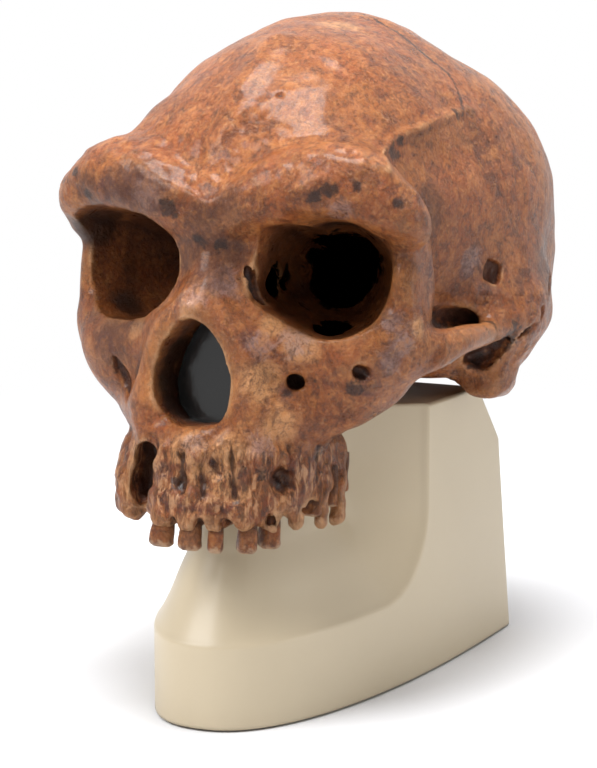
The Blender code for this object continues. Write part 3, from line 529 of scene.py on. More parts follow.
roll([(17, -97, -3, 6), (30, -92, -8, 6), (44, -85, -9, 6), (54, -78, -2, 6)], 6, BOTH)

# %% Upper jaw, cheek arches, ear region and nape
press((0, -86, -46), (29, 28, 18), 6)
roll([(0, -104, -42, 8.5), (14, -101, -42, 8.5), (22.5, -92, -43, 8.5), (25, -80.5, -42, 8.5),
      (25.5, -66, -40, 8)], 6, BOTH)
roll([(0, -109.5, -57, 6), (13, -105.6, -57, 6), (23.4, -96, -55, 5.6), (27, -82.6, -50.4, 5.6),
      (28.4, -64.8, -44, 6)], 6, BOTH)
roll([(16, -100, -26, 6), (27, -93, -29, 6), (34, -84, -31, 5)], 8, BOTH)
press((-29, -92.5, -52), (7.2, 10.5, 13), 5)
press((-27.5, -97, -61), (4.5, 6, 6), 4)
roll([(55, -70, -8, 8), (62.5, -60, -5.5, 6.5), (66.5, -50, -2.8, 4.8), (67, -38, -1.8, 4),
      (66.5, -27, -1.2, 3.5), (64.5, -17, -0.5, 3.6), (61, -8, 0, 4)], 4, BOTH)
press((55, 11, -11.5), (9, 13, 14), 4, (0, 0, 0), BOTH, power=3)
press((58, 20, -2), (9, 14, 12), 6, sides=BOTH)
roll([(62, -8, 2, 4), (64, 6, 5, 5), (65, 20, 10, 5), (61, 36, 18, 4)], 6, BOTH)
roll([(0, 91, 16, 7), (25, 85.5, 14, 7), (45, 67.5, 8, 6.2), (57.5, 41, 4, 6)], 6, BOTH)

# %% Pushes and pulls on the face and the base
swell((-57, -94, 54), (8, 10, 8), -2.0)
swell((-66, -84, 29), (10, 12, 10), -2.0)
swell((-50, -84, -29), (12, 14, 10), -1.5)
swell((-37, -99, -51), (6, 8, 8), -2.5)
swell((69, 28, -8), (14, 14, 14), -2.0, BOTH)
swell((0, 90, 2), (34, 16, 9), -2.6)
swell((0, 92, 32), (40, 18, 10), -1.6)
swell((60, -75, -19), (9, 10, 7), -3.0, BOTH)
swell((13.5, -104, 17), (8, 9, 10), -1.5, BOTH)

# %% [markdown]
# ### Hollows and openings
#
# In a real cast the mould gives every hollow its depth. Here rounded masses are cut out for the palate,
# the ear openings, the room behind the cheek arches and the underside. The orbits and the nasal opening
# have an outline that is seen from the front, so each is a funnel: the outline is cut straight in and
# shrinks to a point inside. The skin before the cuts is kept, so that the paint can tell how deep a
# point lies.

# %% Hollows
# The skin before the cuts is kept so that deep points of the orbits and the nose can get painted shade.
skin = field.copy()
press((0, -76, -68), (19, 32, 22), 5, cut=True)
press((62, -3, -7), (6.5, 6, 4.6), 1, (25, 0, 0), BOTH, cut=True)
press((60, -9, -9.5), (5, 4.5, 2.8), 1, sides=BOTH, cut=True)
press((57, -5, -11), (6, 6, 4.6), 1, (25, 0, 0), LEFT, cut=True)
press((53, -18, -8), (8, 7, 6), 4, sides=BOTH, cut=True)
press((53.5, -29, 3.2), (5.5, 23, 4.4), 1.5, (0, 0, -8), BOTH, cut=True)
press((0, 36, -31), (45, 45, 13.5), 3, (-6, 0, 0), cut=True)

# %% Orbits and nasal opening, seen from the front
LEFT_ORBIT = [(13.6, 13), (14.6, 18), (15.6, 24), (17.5, 29), (20.5, 32.2), (25, 33.2), (30.8, 32.8),
              (37, 35.2), (44, 35.2), (50.5, 32), (55.5, 27.5), (57.8, 21), (57.8, 13), (55.5, 7),
              (51.5, 1.6), (45, -1.8), (38, -2.8), (31, -1.4), (24, 2.6), (18, 6.5), (14.8, 9)]
RIGHT_ORBIT = [(12.4, 12), (12, 18.5), (14, 27.8), (20, 32.8), (27, 34.8), (35, 35.5), (45, 36),
               (51.5, 35.5), (56.5, 33), (59, 26), (59.4, 18), (58.8, 11), (54.5, 4.2), (47, 0.4),
               (38, -0.7), (30, 0), (22, 3), (16, 6.5)]
NASAL_OUTLINE = [(0.5, 2.3), (3.8, 0.6), (7.8, -4.6), (11.0, -12), (12.6, -19.5), (11.8, -26.6),
                 (7.5, -31.6), (0, -32.8), (-9, -32), (-14, -27), (-16, -19.5), (-14.2, -11), (-9.8, -4),
                 (-4.8, 1)]
ORBIT_APEX, FUNNEL_FRONT = (24, -46, 15), -125


def cut_funnel(outline, middle, apex, side=1, blend=0.5, power=2.4):
    """Cut behind an outline in x and z that shrinks towards an apex, by (1 - t^p)^(1/p) of the way t.

    The outline is read as a radius by angle round its middle, and the middle slides to the apex.
    """
    points = np.array(outline) - (middle[0], middle[2])
    angles, radii = np.arctan2(points[:, 1], points[:, 0]), np.hypot(*points.T)
    order = np.argsort(angles)
    low = np.minimum(points.min(0) + (middle[0], middle[2]), (apex[0], apex[2])) - 4
    high = np.maximum(points.max(0) + (middle[0], middle[2]), (apex[0], apex[2])) + 4
    edges = sorted((side * low[0], side * high[0]))
    spans, (x, y, z) = window((edges[0], FUNNEL_FRONT, low[1]), (edges[1], apex[1] + 3, high[1]))
    t = np.clip((y - middle[1]) / (apex[1] - middle[1]), 0, 1)
    across = side * x - middle[0] - t * (apex[0] - middle[0])
    above = z - middle[2] - t * (apex[2] - middle[2])
    rim = np.interp(np.arctan2(above, across), angles[order], radii[order], period=2 * math.pi)
    scale = (1 - np.minimum(t, 0.999) ** power) ** (1 / power)
    distance = np.maximum(np.hypot(across, above) - rim * scale, y - apex[1])
    blend_in(spans, distance.astype(np.float32), blend, cut=True)


cut_funnel(LEFT_ORBIT, (35.5, -92, 16.5), ORBIT_APEX)
cut_funnel(RIGHT_ORBIT, (35.5, -92, 17.5), ORBIT_APEX, side=-1)
cut_funnel(NASAL_OUTLINE, (-3.2, -104, -16), (-3.2, -84, -16), blend=0.6, power=6)

# %% [markdown]
# ### Ridges and edges
#
# The brow has an edge on top where the forehead rises from it, the forehead has a low ridge in its
# middle, and a sharp line on each side shows where the chewing muscle began. Each is a thin bar laid
# on the surface, and the surface beside it is drawn in a little. Bars are right here because such a
# line runs over several masses, and its height can fade out at both ends.

# %% Ridges of the brow, forehead and temples
roll([(-50, -96.5, 50.5, 2), (-44, -99.5, 51.6, 2.8), (-37, -103, 51.6, 3), (-27.6, -106.2, 49.6, 3),
      (-15, -107.4, 44.6, 2.8), (-3.3, -107.5, 40.4, 2.2), (2, -107.8, 38.4, 2), (9, -107.2, 41.6, 2.4),
      (15.7, -105, 47.2, 2.8), (22.3, -102.5, 51.5, 3), (30.7, -101, 53.6, 3), (41.6, -101.2, 52.6, 3),
      (50.6, -98, 51.6, 3), (57.7, -92.3, 49.6, 3), (62, -86, 44, 2.5)], 1.5)
roll([(0, -97, 52, 1), (0, -92, 61, 2.6), (0, -84.7, 71.5, 3), (0, -75.4, 80.5, 3), (0, -59, 92, 2)], 8)
roll([(57.5, -94.5, 51.2, 2), (54, -89.4, 55, 2), (50, -80, 57.5, 1.8)], 1.5, LEFT)
roll([(50, -80, 57.5, 1.8), (46.4, -71.5, 58.6, 2), (45.6, -65.2, 61.2, 2), (46.4, -60.4, 63, 2),
      (49, -46, 67.5, 2), (50.2, -23.3, 72.8, 1.8), (51.4, -8.4, 75, 1.2)], 1.5, BOTH)
swell((54, -72, 51), (9, 16, 9), -3.2, BOTH)
swell((55, -48, 58), (8, 20, 8), -2.4, BOTH)
swell((57, -22, 62), (8, 20, 9), -1.4, BOTH)
swell((62, -84, 25.5), (9, 10, 6), -3.4, LEFT)
swell((63, -88, 38), (8, 9, 8), 1.4, LEFT)

# %% [markdown]
# ### Roots, losses and small openings
#
# The bone over the tooth roots is thin, so each root shows as an upright ridge with a groove beside it.
# The fossil has lost some front teeth and the bone before them, and it has holes where nerves and
# vessels left the face. The mould copies all of it, so it is cut in the surface and not only painted.

# %% Root ridges over the teeth, and what the jaw has lost
ROOTS = [(-8, -112.5, 3.2), (2.7, -113.6, 3.4), (10.4, -111.5, 2.8), (18.3, -105.5, 3.2), (23.8, -98, 3.2),
         (28.4, -89, 2.8), (32, -78, 3.0), (33.4, -68, 3.0)]
for across, along, radius in ROOTS:
    roll([(across, along + 0.4, -63, radius * 0.95), (across * 1.01, along + 1.0, -52, radius * 0.8),
          (across * 0.98, along + 2.5, -42, radius * 0.4)], 3)
press((-18.5, -107, -51), (5.2, 14, 11.5), 1.2, (8, 9, 12), cut=True, power=2.4)
press((-20, -112, -60), (3.5, 10, 5), 1.2, cut=True)
press((-14, -112, -41), (3.5, 5, 5), 2, cut=True)
GROOVES = [[(-6.0, -114.0), (-6.4, -114.6), (-5.8, -115.2)],
           [(-1.0, -114.2), (-0.2, -113.6), (1.0, -115.5)], [(5.6, -112.8), (6.4, -113.2), (7.4, -113.8)],
           [(14.6, -109.6), (15.8, -109.8), (16.6, -109.4)],
           [(19.8, -108.0), (20.8, -107.6), (22.0, -106.0)],
           [(24.4, -103.8), (25.4, -103.0), (26.8, -101.0)], [(29.0, -96.6), (29.4, -96.0), (29.6, -95.8)],
           [(33.0, -84.8), (33.0, -83.0), (33.0, -82.0)]]
for top, middle_point, foot in GROOVES:
    roll([(*top, -38, 0.3), (*middle_point, -46, 0.8), (*foot, -54, 0.6)], 1.8, cut=True)
roll([(-6.5, -110.8, -60.8, 3.8), (4, -111.8, -60.8, 3.8), (12, -109.2, -60.8, 3.6),
      (20, -101.7, -59.8, 3.6), (26, -91, -57, 3.2), (30, -80, -53.4, 3.0), (31.6, -67, -49.4, 3.0)], 3)
TOOTH_GAPS = [(-2.6, -114.8, -64.6, 1.7), (6.8, -114, -64.6, 1.9), (14.8, -109, -64.4, 1.7),
              (24.6, -95.2, -60.8, 1.8), (29.6, -83.8, -58, 1.8)]
for across, along, level, radius in TOOTH_GAPS:
    press((across, along, level), (radius, 6, 2 * radius), 1, cut=True)
roll([(-6, -116.6, -58.6, 0.9), (2, -117.6, -58.8, 1.1), (9, -115.4, -58.8, 1.1), (14, -112.9, -58.6, 0.7)],
     1, cut=True)
press((10.6, -113.5, -45), (2.4, 2.8, 4.2), 1.5, (0, -25, 0), cut=True)
swell((-1, -116, -50), (2.4, 5, 8), -0.8)
swell((36, -68, -44), (6, 16, 12), -0.5)
press((29.5, -99.5, -49), (4.4, 5, 5), 2, (0, -20, 0), cut=True)
press((38, -83, -41), (3.4, 5, 3.4), 1.2, cut=True)
press((35, -86, -48), (2.4, 4, 3.4), 1.2, cut=True)

# %% Small openings: holes in the orbit, canals of nerves, pits and cracks
roll([(29.5, -66, 16.8, 10.5), (24, -48, 16, 9)], 1.2, LEFT, cut=True)
roll([(35.5, -68, 20, 7.5), (28, -50, 18, 8)], 1.2, LEFT, cut=True)
roll([(9, -80, 14, 4.6), (2, -66, 13.8, 4.2)], 1, LEFT, cut=True)
roll([(10, -78, 16.5, 3.2), (2, -66, 16, 3)], 1, LEFT, cut=True)
roll([(29.5, -76, 1.5, 4.2), (27, -66, -4, 3.6)], 1, LEFT, cut=True)
roll([(12.2, -98, 17.5, 2.0), (13, -96.5, 12, 2.7), (14.6, -94.5, 6, 2.2)], 0.8, LEFT, cut=True)
press((28.8, -92.5, -16.3), (3.1, 4.5, 3.1), 1.6, (20, 0, 0), LEFT, cut=True)
press((50.0, -89.5, -12.9), (3.6, 2.6, 2.3), 2, (0, 25, 0), LEFT, cut=True)
roll([(-37.6, -94.5, -13.5, 1.0), (-36.2, -93.8, -17.5, 2.2), (-34, -94, -22, 2.4),
      (-30.5, -97.5, -26.5, 1.2)], 1, LEFT, cut=True)
press((62.9, -10.2, 19.8), (3, 4.2, 3.8), 0.5, (-16, 0, -14), LEFT, cut=True, power=5)
roll([(67.2, -66, -6, 1.4), (66.4, -68.5, -9.5, 2.2), (64.5, -70.8, -12.5, 1.4)], 1.5, LEFT, cut=True)
roll([(64, 1, -3.5, 1.0), (67.6, 6.5, -1.3, 1.5), (70.8, 12.4, 1.3, 1.2)], 1, LEFT, cut=True)
press((71, 17.5, 5.2), (2.4, 2.6, 3.2), 1, sides=LEFT, cut=True)
roll([(70, 27, 12.5, 0.7), (67.6, 33, 17, 0.9), (64.6, 40.3, 22.8, 0.7)], 0.6, LEFT, cut=True)
press((13.8, -84.5, 75), (1.2, 2, 0.9), 0.5, sides=LEFT, cut=True)
roll([(66.5, -82.5, 29.5, 0.8), (62.8, -87, 28, 1.5), (58.5, -90, 28.8, 0.6)], 1.2, LEFT, cut=True)

# %% [markdown]
# ### Where the cranium meets its stand
#
# The cast is cut flat where it rests on the felt ring, and drawn up a little all round, so that only the
# ring carries it. It has a round hole in its base for the post. The cast is hollow, so a plain rounded
# hollow round the post stands for the inside.

# %% Seat, hole and hollow
SEAT_LEVEL, FLOOR_THICKNESS, POST_Y, FORAMEN_RADIUS, SEAT_ROOM = 100.7, 4.0, 18.8, 12.5, 0.6
SEAT_RISE, RISE_START, RISE_SPAN, HOLE_REACH = 4.0, 20, 12, 9
HOLLOW_CENTRE, HOLLOW_RADII = (0, 4, 16), (40, 46, 36)
SEAT_BOX = (-60, -70, -60), (60, 80, 60)


def cut_seat():
    """Cut the stand's room, the post's hole and a hollow that ends 4 mm above the seat, in world levels."""
    spans, (x, y, z) = window(*SEAT_BOX)
    world_y = EAR_PLACE[1] + math.cos(TILT) * y - math.sin(TILT) * z
    level = EAR_PLACE[2] + math.sin(TILT) * y + math.cos(TILT) * z
    along = world_y - STAND_TIP_Y
    inward = scoop_of(along, level)
    full = half_width_of(along, STAND_HALF_WIDTH, FULL_WIDEST)
    core = half_width_of(along - core_setback(level), core_half_width(level), CORE_WIDEST)
    width = full + (core - full) * inward + SEAT_ROOM
    from_post = np.hypot(x, world_y - POST_Y)
    rise = SEAT_RISE * ease((from_post - RISE_START) / RISE_SPAN)
    ceiling = level_at(1.0, along) + SEAT_LEVEL - STAND_TOP + rise
    room = np.maximum(np.abs(x) - width, level - ceiling)
    room = np.maximum(room, along - rear_of(np.minimum(level / STAND_TOP, 1)) - SEAT_ROOM)
    blend_in(spans, room.astype(np.float32), 1.0, cut=True)
    hole = np.maximum(from_post - FORAMEN_RADIUS, np.abs(level - SEAT_LEVEL) - HOLE_REACH)
    blend_in(spans, hole.astype(np.float32), 0.5, cut=True)
    shares = [(v - centre) / radius for v, centre, radius in zip((x, y, z), HOLLOW_CENTRE, HOLLOW_RADII)]
    norm = np.sqrt(shares[0] ** 2 + shares[1] ** 2 + shares[2] ** 2)
    hollow = np.maximum((norm - 1) * min(HOLLOW_RADII), SEAT_LEVEL + FLOOR_THICKNESS + rise - level)
    blend_in(spans, hollow.astype(np.float32), 1.0, cut=True)


cut_seat()

# %% [markdown]
# ### From the field to a surface
#
# A surface net walks the lattice once: each cell that the surface crosses gets one point, in the
# middle of its crossings, and each lattice edge that the surface crosses gets one face between the
# four cells round it. Then each point is drawn onto the exact zero of the field.

# %% Surface net
REFINE_ROUNDS, MOST_SHIFT = 2, 0.4      # how often a point is drawn to the zero, and how far, in steps
CORNERS = [(i, j, k) for i in (0, 1) for j in (0, 1) for k in (0, 1)]


def surface_net(values):
    """Points (in lattice steps) and quads of the zero surface of a field."""
    inside = values < 0
    size = np.array(values.shape) - 1
    total = sum(inside[i:i + size[0], j:j + size[1], k:k + size[2]].astype(np.int8) for i, j, k in CORNERS)
    cells = np.argwhere((total > 0) & (total < 8))
    number = np.full(size, -1, np.int32)
    number[tuple(cells.T)] = np.arange(len(cells))
    place, hits, quads = np.zeros((len(cells), 3)), np.zeros(len(cells)), []
    for axis in range(3):
        step = np.eye(3, dtype=int)[axis]
        sides = np.eye(3, dtype=int)[[a for a in range(3) if a != axis]]
        for one, two in ((0, 0), (0, 1), (1, 0), (1, 1)):
            start = cells + one * sides[0] + two * sides[1]
            a = values[tuple(start.T)]
            b = values[tuple((start + step).T)]
            crossed = (a < 0) != (b < 0)
            share = np.where(crossed, a / np.where(crossed, a - b, 1), 0)
            place += np.where(crossed[:, None], start + share[:, None] * step, 0)
            hits += crossed
        stop = tuple(slice(0, n - (a == axis)) for a, n in enumerate(values.shape))
        ahead = tuple(slice(int(a == axis), n) for a, n in enumerate(values.shape))
        edges = np.argwhere(inside[stop] != inside[ahead])
        edges = edges[(edges[:, [a for a in range(3) if a != axis]] > 0).all(1) & (edges < size).all(1)]
        around = [edges, edges - sides[0], edges - sides[0] - sides[1], edges - sides[1]]
        quad = np.stack([number[tuple(cell.T)] for cell in around], -1)
        flip = inside[tuple(edges.T)] ^ (axis == 1)
        quads.append(np.where(flip[:, None], quad[:, ::-1], quad))
    return place / hits[:, None], np.concatenate(quads)


def read(values, points):
    """Trilinear reading of a lattice at points in lattice steps."""
    points = np.clip(points, 0, np.array(values.shape) - 1.001)
    cell = points.astype(int)
    t = points - cell
    total = 0
    for corner in CORNERS:
        weight = np.prod(np.where(corner, t, 1 - t), axis=1)
        total = total + weight * values[tuple((cell + corner).T)]
    return total


def slope(values, points, reach=0.8):
    """Unit direction in which the field rises fastest: central differences."""
    steps = np.eye(3) * reach
    rise = np.stack([read(values, points + step) - read(values, points - step) for step in steps], -1)
    return rise / np.maximum(np.linalg.norm(rise, axis=1, keepdims=True), 1e-6)


net_points, net_quads = surface_net(field)
for _ in range(REFINE_ROUNDS):
    gap = np.clip(read(field, net_points) / VOXEL, -MOST_SHIFT, MOST_SHIFT)
    net_points = net_points - gap[:, None] * slope(field, net_points)
print("cranium:", len(net_points), "points,", len(net_quads), "faces")

# %% [markdown]
# ### Weathering and hollows
#
# Bone is never smooth: it has broad dents, small pores and a rougher jaw. Smooth lattice noise moves
# the points along their normals. Each point also remembers how much solid lies round it at three
# distances: the paint darkens the hollows with a dark wash and with painted shade, and lightens the
# edges, partly as rubbed paint and partly as painted highlight.

# %% Weathering
NOISE_STEPS = 32


def lumps(points, size, seed):
    """Smooth noise from -1 to 1: random values on a lattice of the given size, eased between its points."""
    random = np.random.default_rng(seed).uniform(-1, 1, (NOISE_STEPS,) * 3)
    place = points / size + 1000
    cell = np.floor(place).astype(int)
    t = ease(place - cell)
    total = 0
    for corner in CORNERS:
        weight = np.prod(np.where(corner, t, 1 - t), axis=1)
        total = total + weight * random[tuple(((cell + corner) % NOISE_STEPS).T)]
    return total


def blurred(values, steps):
    """Running mean over a cube, one axis after another."""
    for axis in range(3):
        values = np.moveaxis(values, axis, 0)
        padded = np.concatenate([values[:1].repeat(steps + 1, 0), values, values[-1:].repeat(steps, 0)])
        total = padded.cumsum(0, dtype=np.float32)
        values = np.moveaxis((total[2 * steps + 1:] - total[:-2 * steps - 1]) / (2 * steps + 1), 0, axis)
    return values


solid = (np.clip(0.5 - field / VOXEL, 0, 1)).astype(np.float32)
# How much solid lies round each point: hollows get a dark wash and painted shade, edges get rubbed paint and
# painted highlight.
edge, hollow_small, hollow_large = [read(blurred(solid, steps), net_points) for steps in (2, 4, 13)]
# How deep each point lies below the skin before the cuts: deep points in the orbits and the nose get painted
# shade.
cut_depth = np.clip(-read(skin, net_points), 0, FAR)
skull_points = net_points * VOXEL + LATTICE_LOW
normals = slope(field, net_points)

# %% Dents of the jaw, the ear region and the brow
EAR_MIDDLE, EAR_REACH, EAR_TOP = (62, 8, 6), 22.0, 12
jaw = ease((-28 - skull_points[:, 2]) / 14) * ease((-60 - skull_points[:, 1]) / 10)
ear = np.exp(-((np.abs(skull_points) - EAR_MIDDLE) ** 2).sum(1) / EAR_REACH ** 2)
ear = ear * (skull_points[:, 2] < EAR_TOP)
brow = ease((skull_points[:, 2] - 30) / 8) * ease((-84 - skull_points[:, 1]) / 8)
# Where the lumps are, then the depth and size of each in mm and its seed.
DENTS = [(1, [(0.45, 13, 1), (0.22, 5.5, 2)]), (jaw, [(0.8, 4.2, 3), (0.6, 2.5, 4)]),
         (ear, [(0.7, 4.8, 7), (0.5, 2.6, 8)]), (brow, [(0.6, 8, 5), (0.42, 3.4, 6)])]
dents = sum(mask * sum(depth * lumps(skull_points, size, seed) for depth, size, seed in layers)
            for mask, layers in DENTS)
skull_points = skull_points + normals * dents[:, None]
print("dents, mm:", round(float(dents.min()), 2), "to", round(float(dents.max()), 2))

# %% [markdown]
# ### Where the painter put which colour, and where shade and highlight are painted
#
# The painter works in spots: purple-brown and mauve stains, orange where the ground is bare, and dark
# spots that are partly a dark wash and partly painted shade in the pits, the ear openings and under the
# cheek arches. Painted black stands for the cast's black inside and the shade where the holes of the
# left orbit open into it, painted shade darkens the orbits' corners and the nose's inner wall, umber is
# partly a stain and partly painted shade on the brow, the nose root and the sides turned from the
# light, and pale spots are partly rubbed paint and partly painted highlight. Each spot fades with
# distance and is stored on the points as a number, so the paint can break up its edge with noise.

# %% Patches of the painter
# Each patch is a place in the skull's frame and a radius, in millimetres.
PATCHES = {
    # dark: dark stains, and painted shade in the pits, the ear openings and under the cheek arches
    "dark": [(26.8, -96.5, -21, 3), (50, -89.5, -13.5, 4), (48, -90, -17.5, 4), (57, -4, -10.5, 8),
             (66, -20, 2, 5), (38.9, -107, 42.3, 4), (43, -106.5, 44.7, 4), (51.6, -102.7, 46.7, 3),
             (61.7, -94, 41.6, 3), (-2, -106, 26.5, 4), (5.3, -105, 26, 4), (-12, -110, 36.8, 5),
             (-51, -103, 47.2, 3), (-45.4, -103.5, 39.8, 3), (11, -114, -45, 4.5), (-1, -115, -50, 4),
             (30, -99, -50, 6), (25, -105, -47, 4), (37, -84, -41, 6), (52, -20, -6, 14), (64, -2, -2, 9),
             (50, -30, -2, 12), (48, -62, 62, 3), (50.5, -23, 73, 3), (46, -66, 57, 5), (66, 24, 8, 5),
             (12.5, -97, 13, 5), (36, -93, -15, 3), (-36, -94, -18, 4), (60, -52, 0, 8)],
    # void: black where the left orbit's holes lead into the hollow, the cast's black inside and painted shade
    "void": [(26.5, -56, 21.5, 13.5), (9.5, -77, 14, 6.5), (2, -68, 14, 9), (29, -70, 1.5, 6),
             (27, -62, -5, 8), (22, -44, 16, 13)],
    # shade: painted shade in the orbits' corners and on the nose's inner wall
    "shade": [(-16, -97, -10, 9), (-17, -97, -20, 9), (-15, -98, -28, 8), (-54, -82, 30, 12),
              (-25, -62, 22, 13), (-46, -72, 3, 8), (35, -78, 34, 8), (-11, -97, -13, 8),
              (-8, -93, -26, 10), (45, -80, 26, 8)],
    "purple": [(-4, -115, -58.5, 3), (1, -116, -58.6, 3), (6, -115.5, -58.6, 3), (11, -113.5, -58.5, 3),
               (15, -111.5, -58, 3), (-21.6, -111, 40.6, 11), (-34, -106, 42, 8), (9, -108, 16, 8),
               (0, -112, 19, 7), (57.8, -82.7, 3, 6), (59.8, -82.5, -3.6, 6), (57.4, -84.4, -9.1, 7),
               (52.5, -88.2, -16.7, 6), (26.2, -95.8, -21.4, 5), (16.7, -105, -4, 5),
               (58.7, -22.8, 21.9, 9), (-41.4, -95.4, -9.7, 6), (33, -96, -45, 6), (-8, -114, -48, 5),
               (20, -110, -47, 5), (-55, -88, 20, 8), (60, -60, 20, 8)],
    "orange": [(22, -30, 100, 18), (58, -30, 45, 24), (62, 5, 45, 22), (48, -10, 80, 14),
               (45, -104, 52, 12), (28, -106, 40, 10), (60, -96, 46, 7), (-15, -98, 60, 14),
               (20, -112, -46, 8), (0, -114, -37, 8), (44, -94, -3, 9), (20, -60, 88, 16),
               (-30, -60, 80, 18), (10, -20, 103, 14), (62, 10, 40, 20), (-30, -100, 52, 10)],
    # pale: paler paint, and painted highlight on the jaw and the top of the vault
    "pale": [(21, -103, -18, 9), (8, -115, -46, 6), (2, -114, -40, 9), (15, -109, -40, 9),
             (25, -99, -30, 9), (0, -112, 5, 5), (31, -97, -4, 8), (24, -102, 2, 6), (62, -76, 2, 5),
             (-26, -96, -3, 6), (22, -112, -36, 5), (10, -30, 106, 11), (14, -112, -46, 5),
             (-18, -101, -22, 6), (60, -70, -4, 5), (10, -113, -51, 5), (17, -109, -52, 5),
             (-9, -113, -44, 4)],
    "pores": [(60, -92, 42, 8), (50, -98, 46, 8), (-60, -84, 40, 8), (-30, -104, 50, 8),
              (20, -110, -46, 14), (34, -80, -44, 10), (-10, -105, 47, 6), (56, 10, -14, 9),
              (40, -92, -20, 8)],
    "mauve": [(57.8, -82.7, 3, 6), (59.8, -82.5, -3.6, 7), (57.4, -84.4, -9.1, 6), (30, -97, -4, 7),
              (20, -103, -6, 6), (9, -106, 14, 7), (22, -104, -38, 6), (0, -112, 8, 6), (-20, -110, 42, 7),
              (28, -30, 60, 5), (45, -100, 40, 6), (3, -114, -38, 5), (58.7, -22.8, 24, 7)],
    # umber: a stain, and painted shade on the brow, the nose root and the sides turned from the light
    "umber": [(-24, -111, 36, 8), (0, -104, 26, 10), (-17.8, -111, 42, 9), (-31, -108, 42, 9),
              (-44, -102, 42, 8), (0, -107, 33, 9), (8, -103, 24, 8), (-8, -103, 22, 8), (5, -106, 17, 7),
              (-38, -95, -8, 11), (-30, -98, 0, 8), (10, -107, 38, 8), (-26, -110, 43.6, 10),
              (3, -108, 15, 8), (54, -50, 40, 10), (-48, -60, 40, 20), (64, 30, 20, 14)],
}


def patch_weight(points, places):
    """Strongest of the soft spots exp(-(d / r)^2) at each point."""
    weight = np.zeros(len(points))
    for x, y, z, radius in places:
        weight = np.maximum(weight, np.exp(-((points - (x, y, z)) ** 2).sum(1) / radius ** 2))
    return weight


# %% [markdown]
# ### The suture, and the parts of the cast
#
# Two plates of bone meet in a seam that runs across the vault from side to side. It is too fine to model,
# so each point stores its distance from that line and the wash darkens it. Then the surface is shared
# out: the face with the cheek arches, the vault and the base are castings of their own. They keep the
# normals of the whole, so that no seam shows in the light.

# %% The suture across the vault
SUTURE = [(2.9, 0.8, 108.7), (13.8, -5.1, 104.7), (22.6, -7.1, 100.4), (32.9, -10, 93.7),
          (41.2, -8.3, 87.4), (48.5, -14.2, 79.3), (51.8, -19.7, 72.9)]


def distance_to(points, path):
    """Distance from each point to a path, from the nearest of its pieces."""
    nearest = np.full(len(points), 99.0)
    for a, b in zip(path, path[1:]):
        along = b - a
        t = np.clip((points - a) @ along / (along @ along), 0, 1)
        nearest = np.minimum(nearest, np.linalg.norm(points - a - t[:, None] * along, axis=1))
    return nearest


suture_gap = np.minimum(*[distance_to(skull_points, smooth_path(SUTURE) * (side, 1, 1)) for side in BOTH])
print("points on the suture:", int((suture_gap < 1).sum()))


# %% The parts of the cast
FACE_SEAM_Y, BASE_SEAM_Z = -52, 24


def to_world(points):
    """Tip points of the skull's frame (mm) onto the stand (metres)."""
    turn = turn_of((math.degrees(TILT), 0, 0))
    return (points @ turn.T + EAR_PLACE) * MM


def corner_normals(points, faces):
    """Mean normal at each point, from the crossed diagonals of the faces round it."""
    crossed = np.cross(points[faces[:, 2]] - points[faces[:, 0]], points[faces[:, 3]] - points[faces[:, 1]])
    total = np.zeros_like(points)
    for corner in range(4):
        np.add.at(total, faces[:, corner], crossed)
    return total / np.maximum(np.linalg.norm(total, axis=1, keepdims=True), 1e-12)


STORED = {"edge": edge, "hollow_small": hollow_small, "hollow_large": hollow_large, "suture_mm": suture_gap,
          "cut_depth": cut_depth, "jaw": jaw}
for patch, places in PATCHES.items():
    STORED["patch_" + patch] = patch_weight(skull_points, places)
middles = skull_points[net_quads].mean(1)
in_face, low_down = middles[:, 1] < FACE_SEAM_Y, middles[:, 2] < BASE_SEAM_Z
world_points = to_world(skull_points)
world_normals = corner_normals(world_points, net_quads)


def cast_part(name, chosen, *nodes):
    """One moulding of the cast: its share of the faces, with the normals of the whole."""
    used, faces = np.unique(net_quads[chosen], return_inverse=True)
    piece = mesh_piece(name, world_points[used], faces.reshape(-1, 4))
    piece.data.normals_split_custom_set_from_vertices(world_normals[used])
    for key, values in STORED.items():
        attribute(piece, key, values[used])
    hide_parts(*nodes)
    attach(piece, "cranium")
    print(name, "mm:", [round(v * 1000, 1) for v in piece.dimensions], "faces:", len(faces))
    return piece


cast_parts = [cast_part("cranium_face", in_face, "face_shell", "cheek_arch_left", "cheek_arch_right"),
              cast_part("cranium_vault", ~in_face & ~low_down, "vault_shell"),
              cast_part("cranium_base", ~in_face & low_down, "base_shell")]

# %% [markdown]
# ## The teeth
#
# The teeth are worn to pegs of unequal length. Each is a surface of two parameters: an angle round
# the tooth and a share of its height. A squircle gives its plan, a slow swelling its side, and the
# worn tip is a shallow dish.

# %% Teeth
# Across, along and level of the gum, half width, half depth and crown height (mm), lean in degrees.
TEETH = {
    "tooth_right_1": (-8.2, -110.4, -64.4, 3.9, 3.7, 8.0, 4),
    "tooth_left_1": (2.7, -111.8, -64.4, 3.7, 3.7, 8.0, 4),
    "tooth_left_2": (10.4, -109.3, -64.4, 2.6, 3.4, 8.4, 4),
    "tooth_left_3": (18.3, -102.8, -63.7, 3.2, 3.8, 9.1, 3),
    "tooth_left_4": (22.7, -95.7, -62.4, 3.3, 3.9, 9.1, 2),
    "tooth_left_5": (26.1, -89.5, -57.2, 2.5, 3.7, 3.7, 0),
    "tooth_left_6": (29.3, -79.4, -56.6, 3.4, 4.5, 5.1, -2),
    "tooth_left_7": (30.8, -70.6, -54.0, 3.3, 4.5, 5.1, -4),
    "tooth_left_8": (31.0, -62.7, -50.1, 3.1, 4.2, 4.7, -6),
    "tooth_right_6": (-29.3, -78.4, -57.9, 3.7, 4.5, 2.9, -2),
    "tooth_right_7": (-30.7, -67.9, -54.0, 3.7, 4.5, 2.9, -4),
}
ROOT_MM, ROW_CENTRE_Y, DISH_MM = 8.8, -83.6, (0.35, 0.5)
TOOTH_ROWS, TOOTH_COLUMNS, SQUIRCLE = 26, 28, 2.6


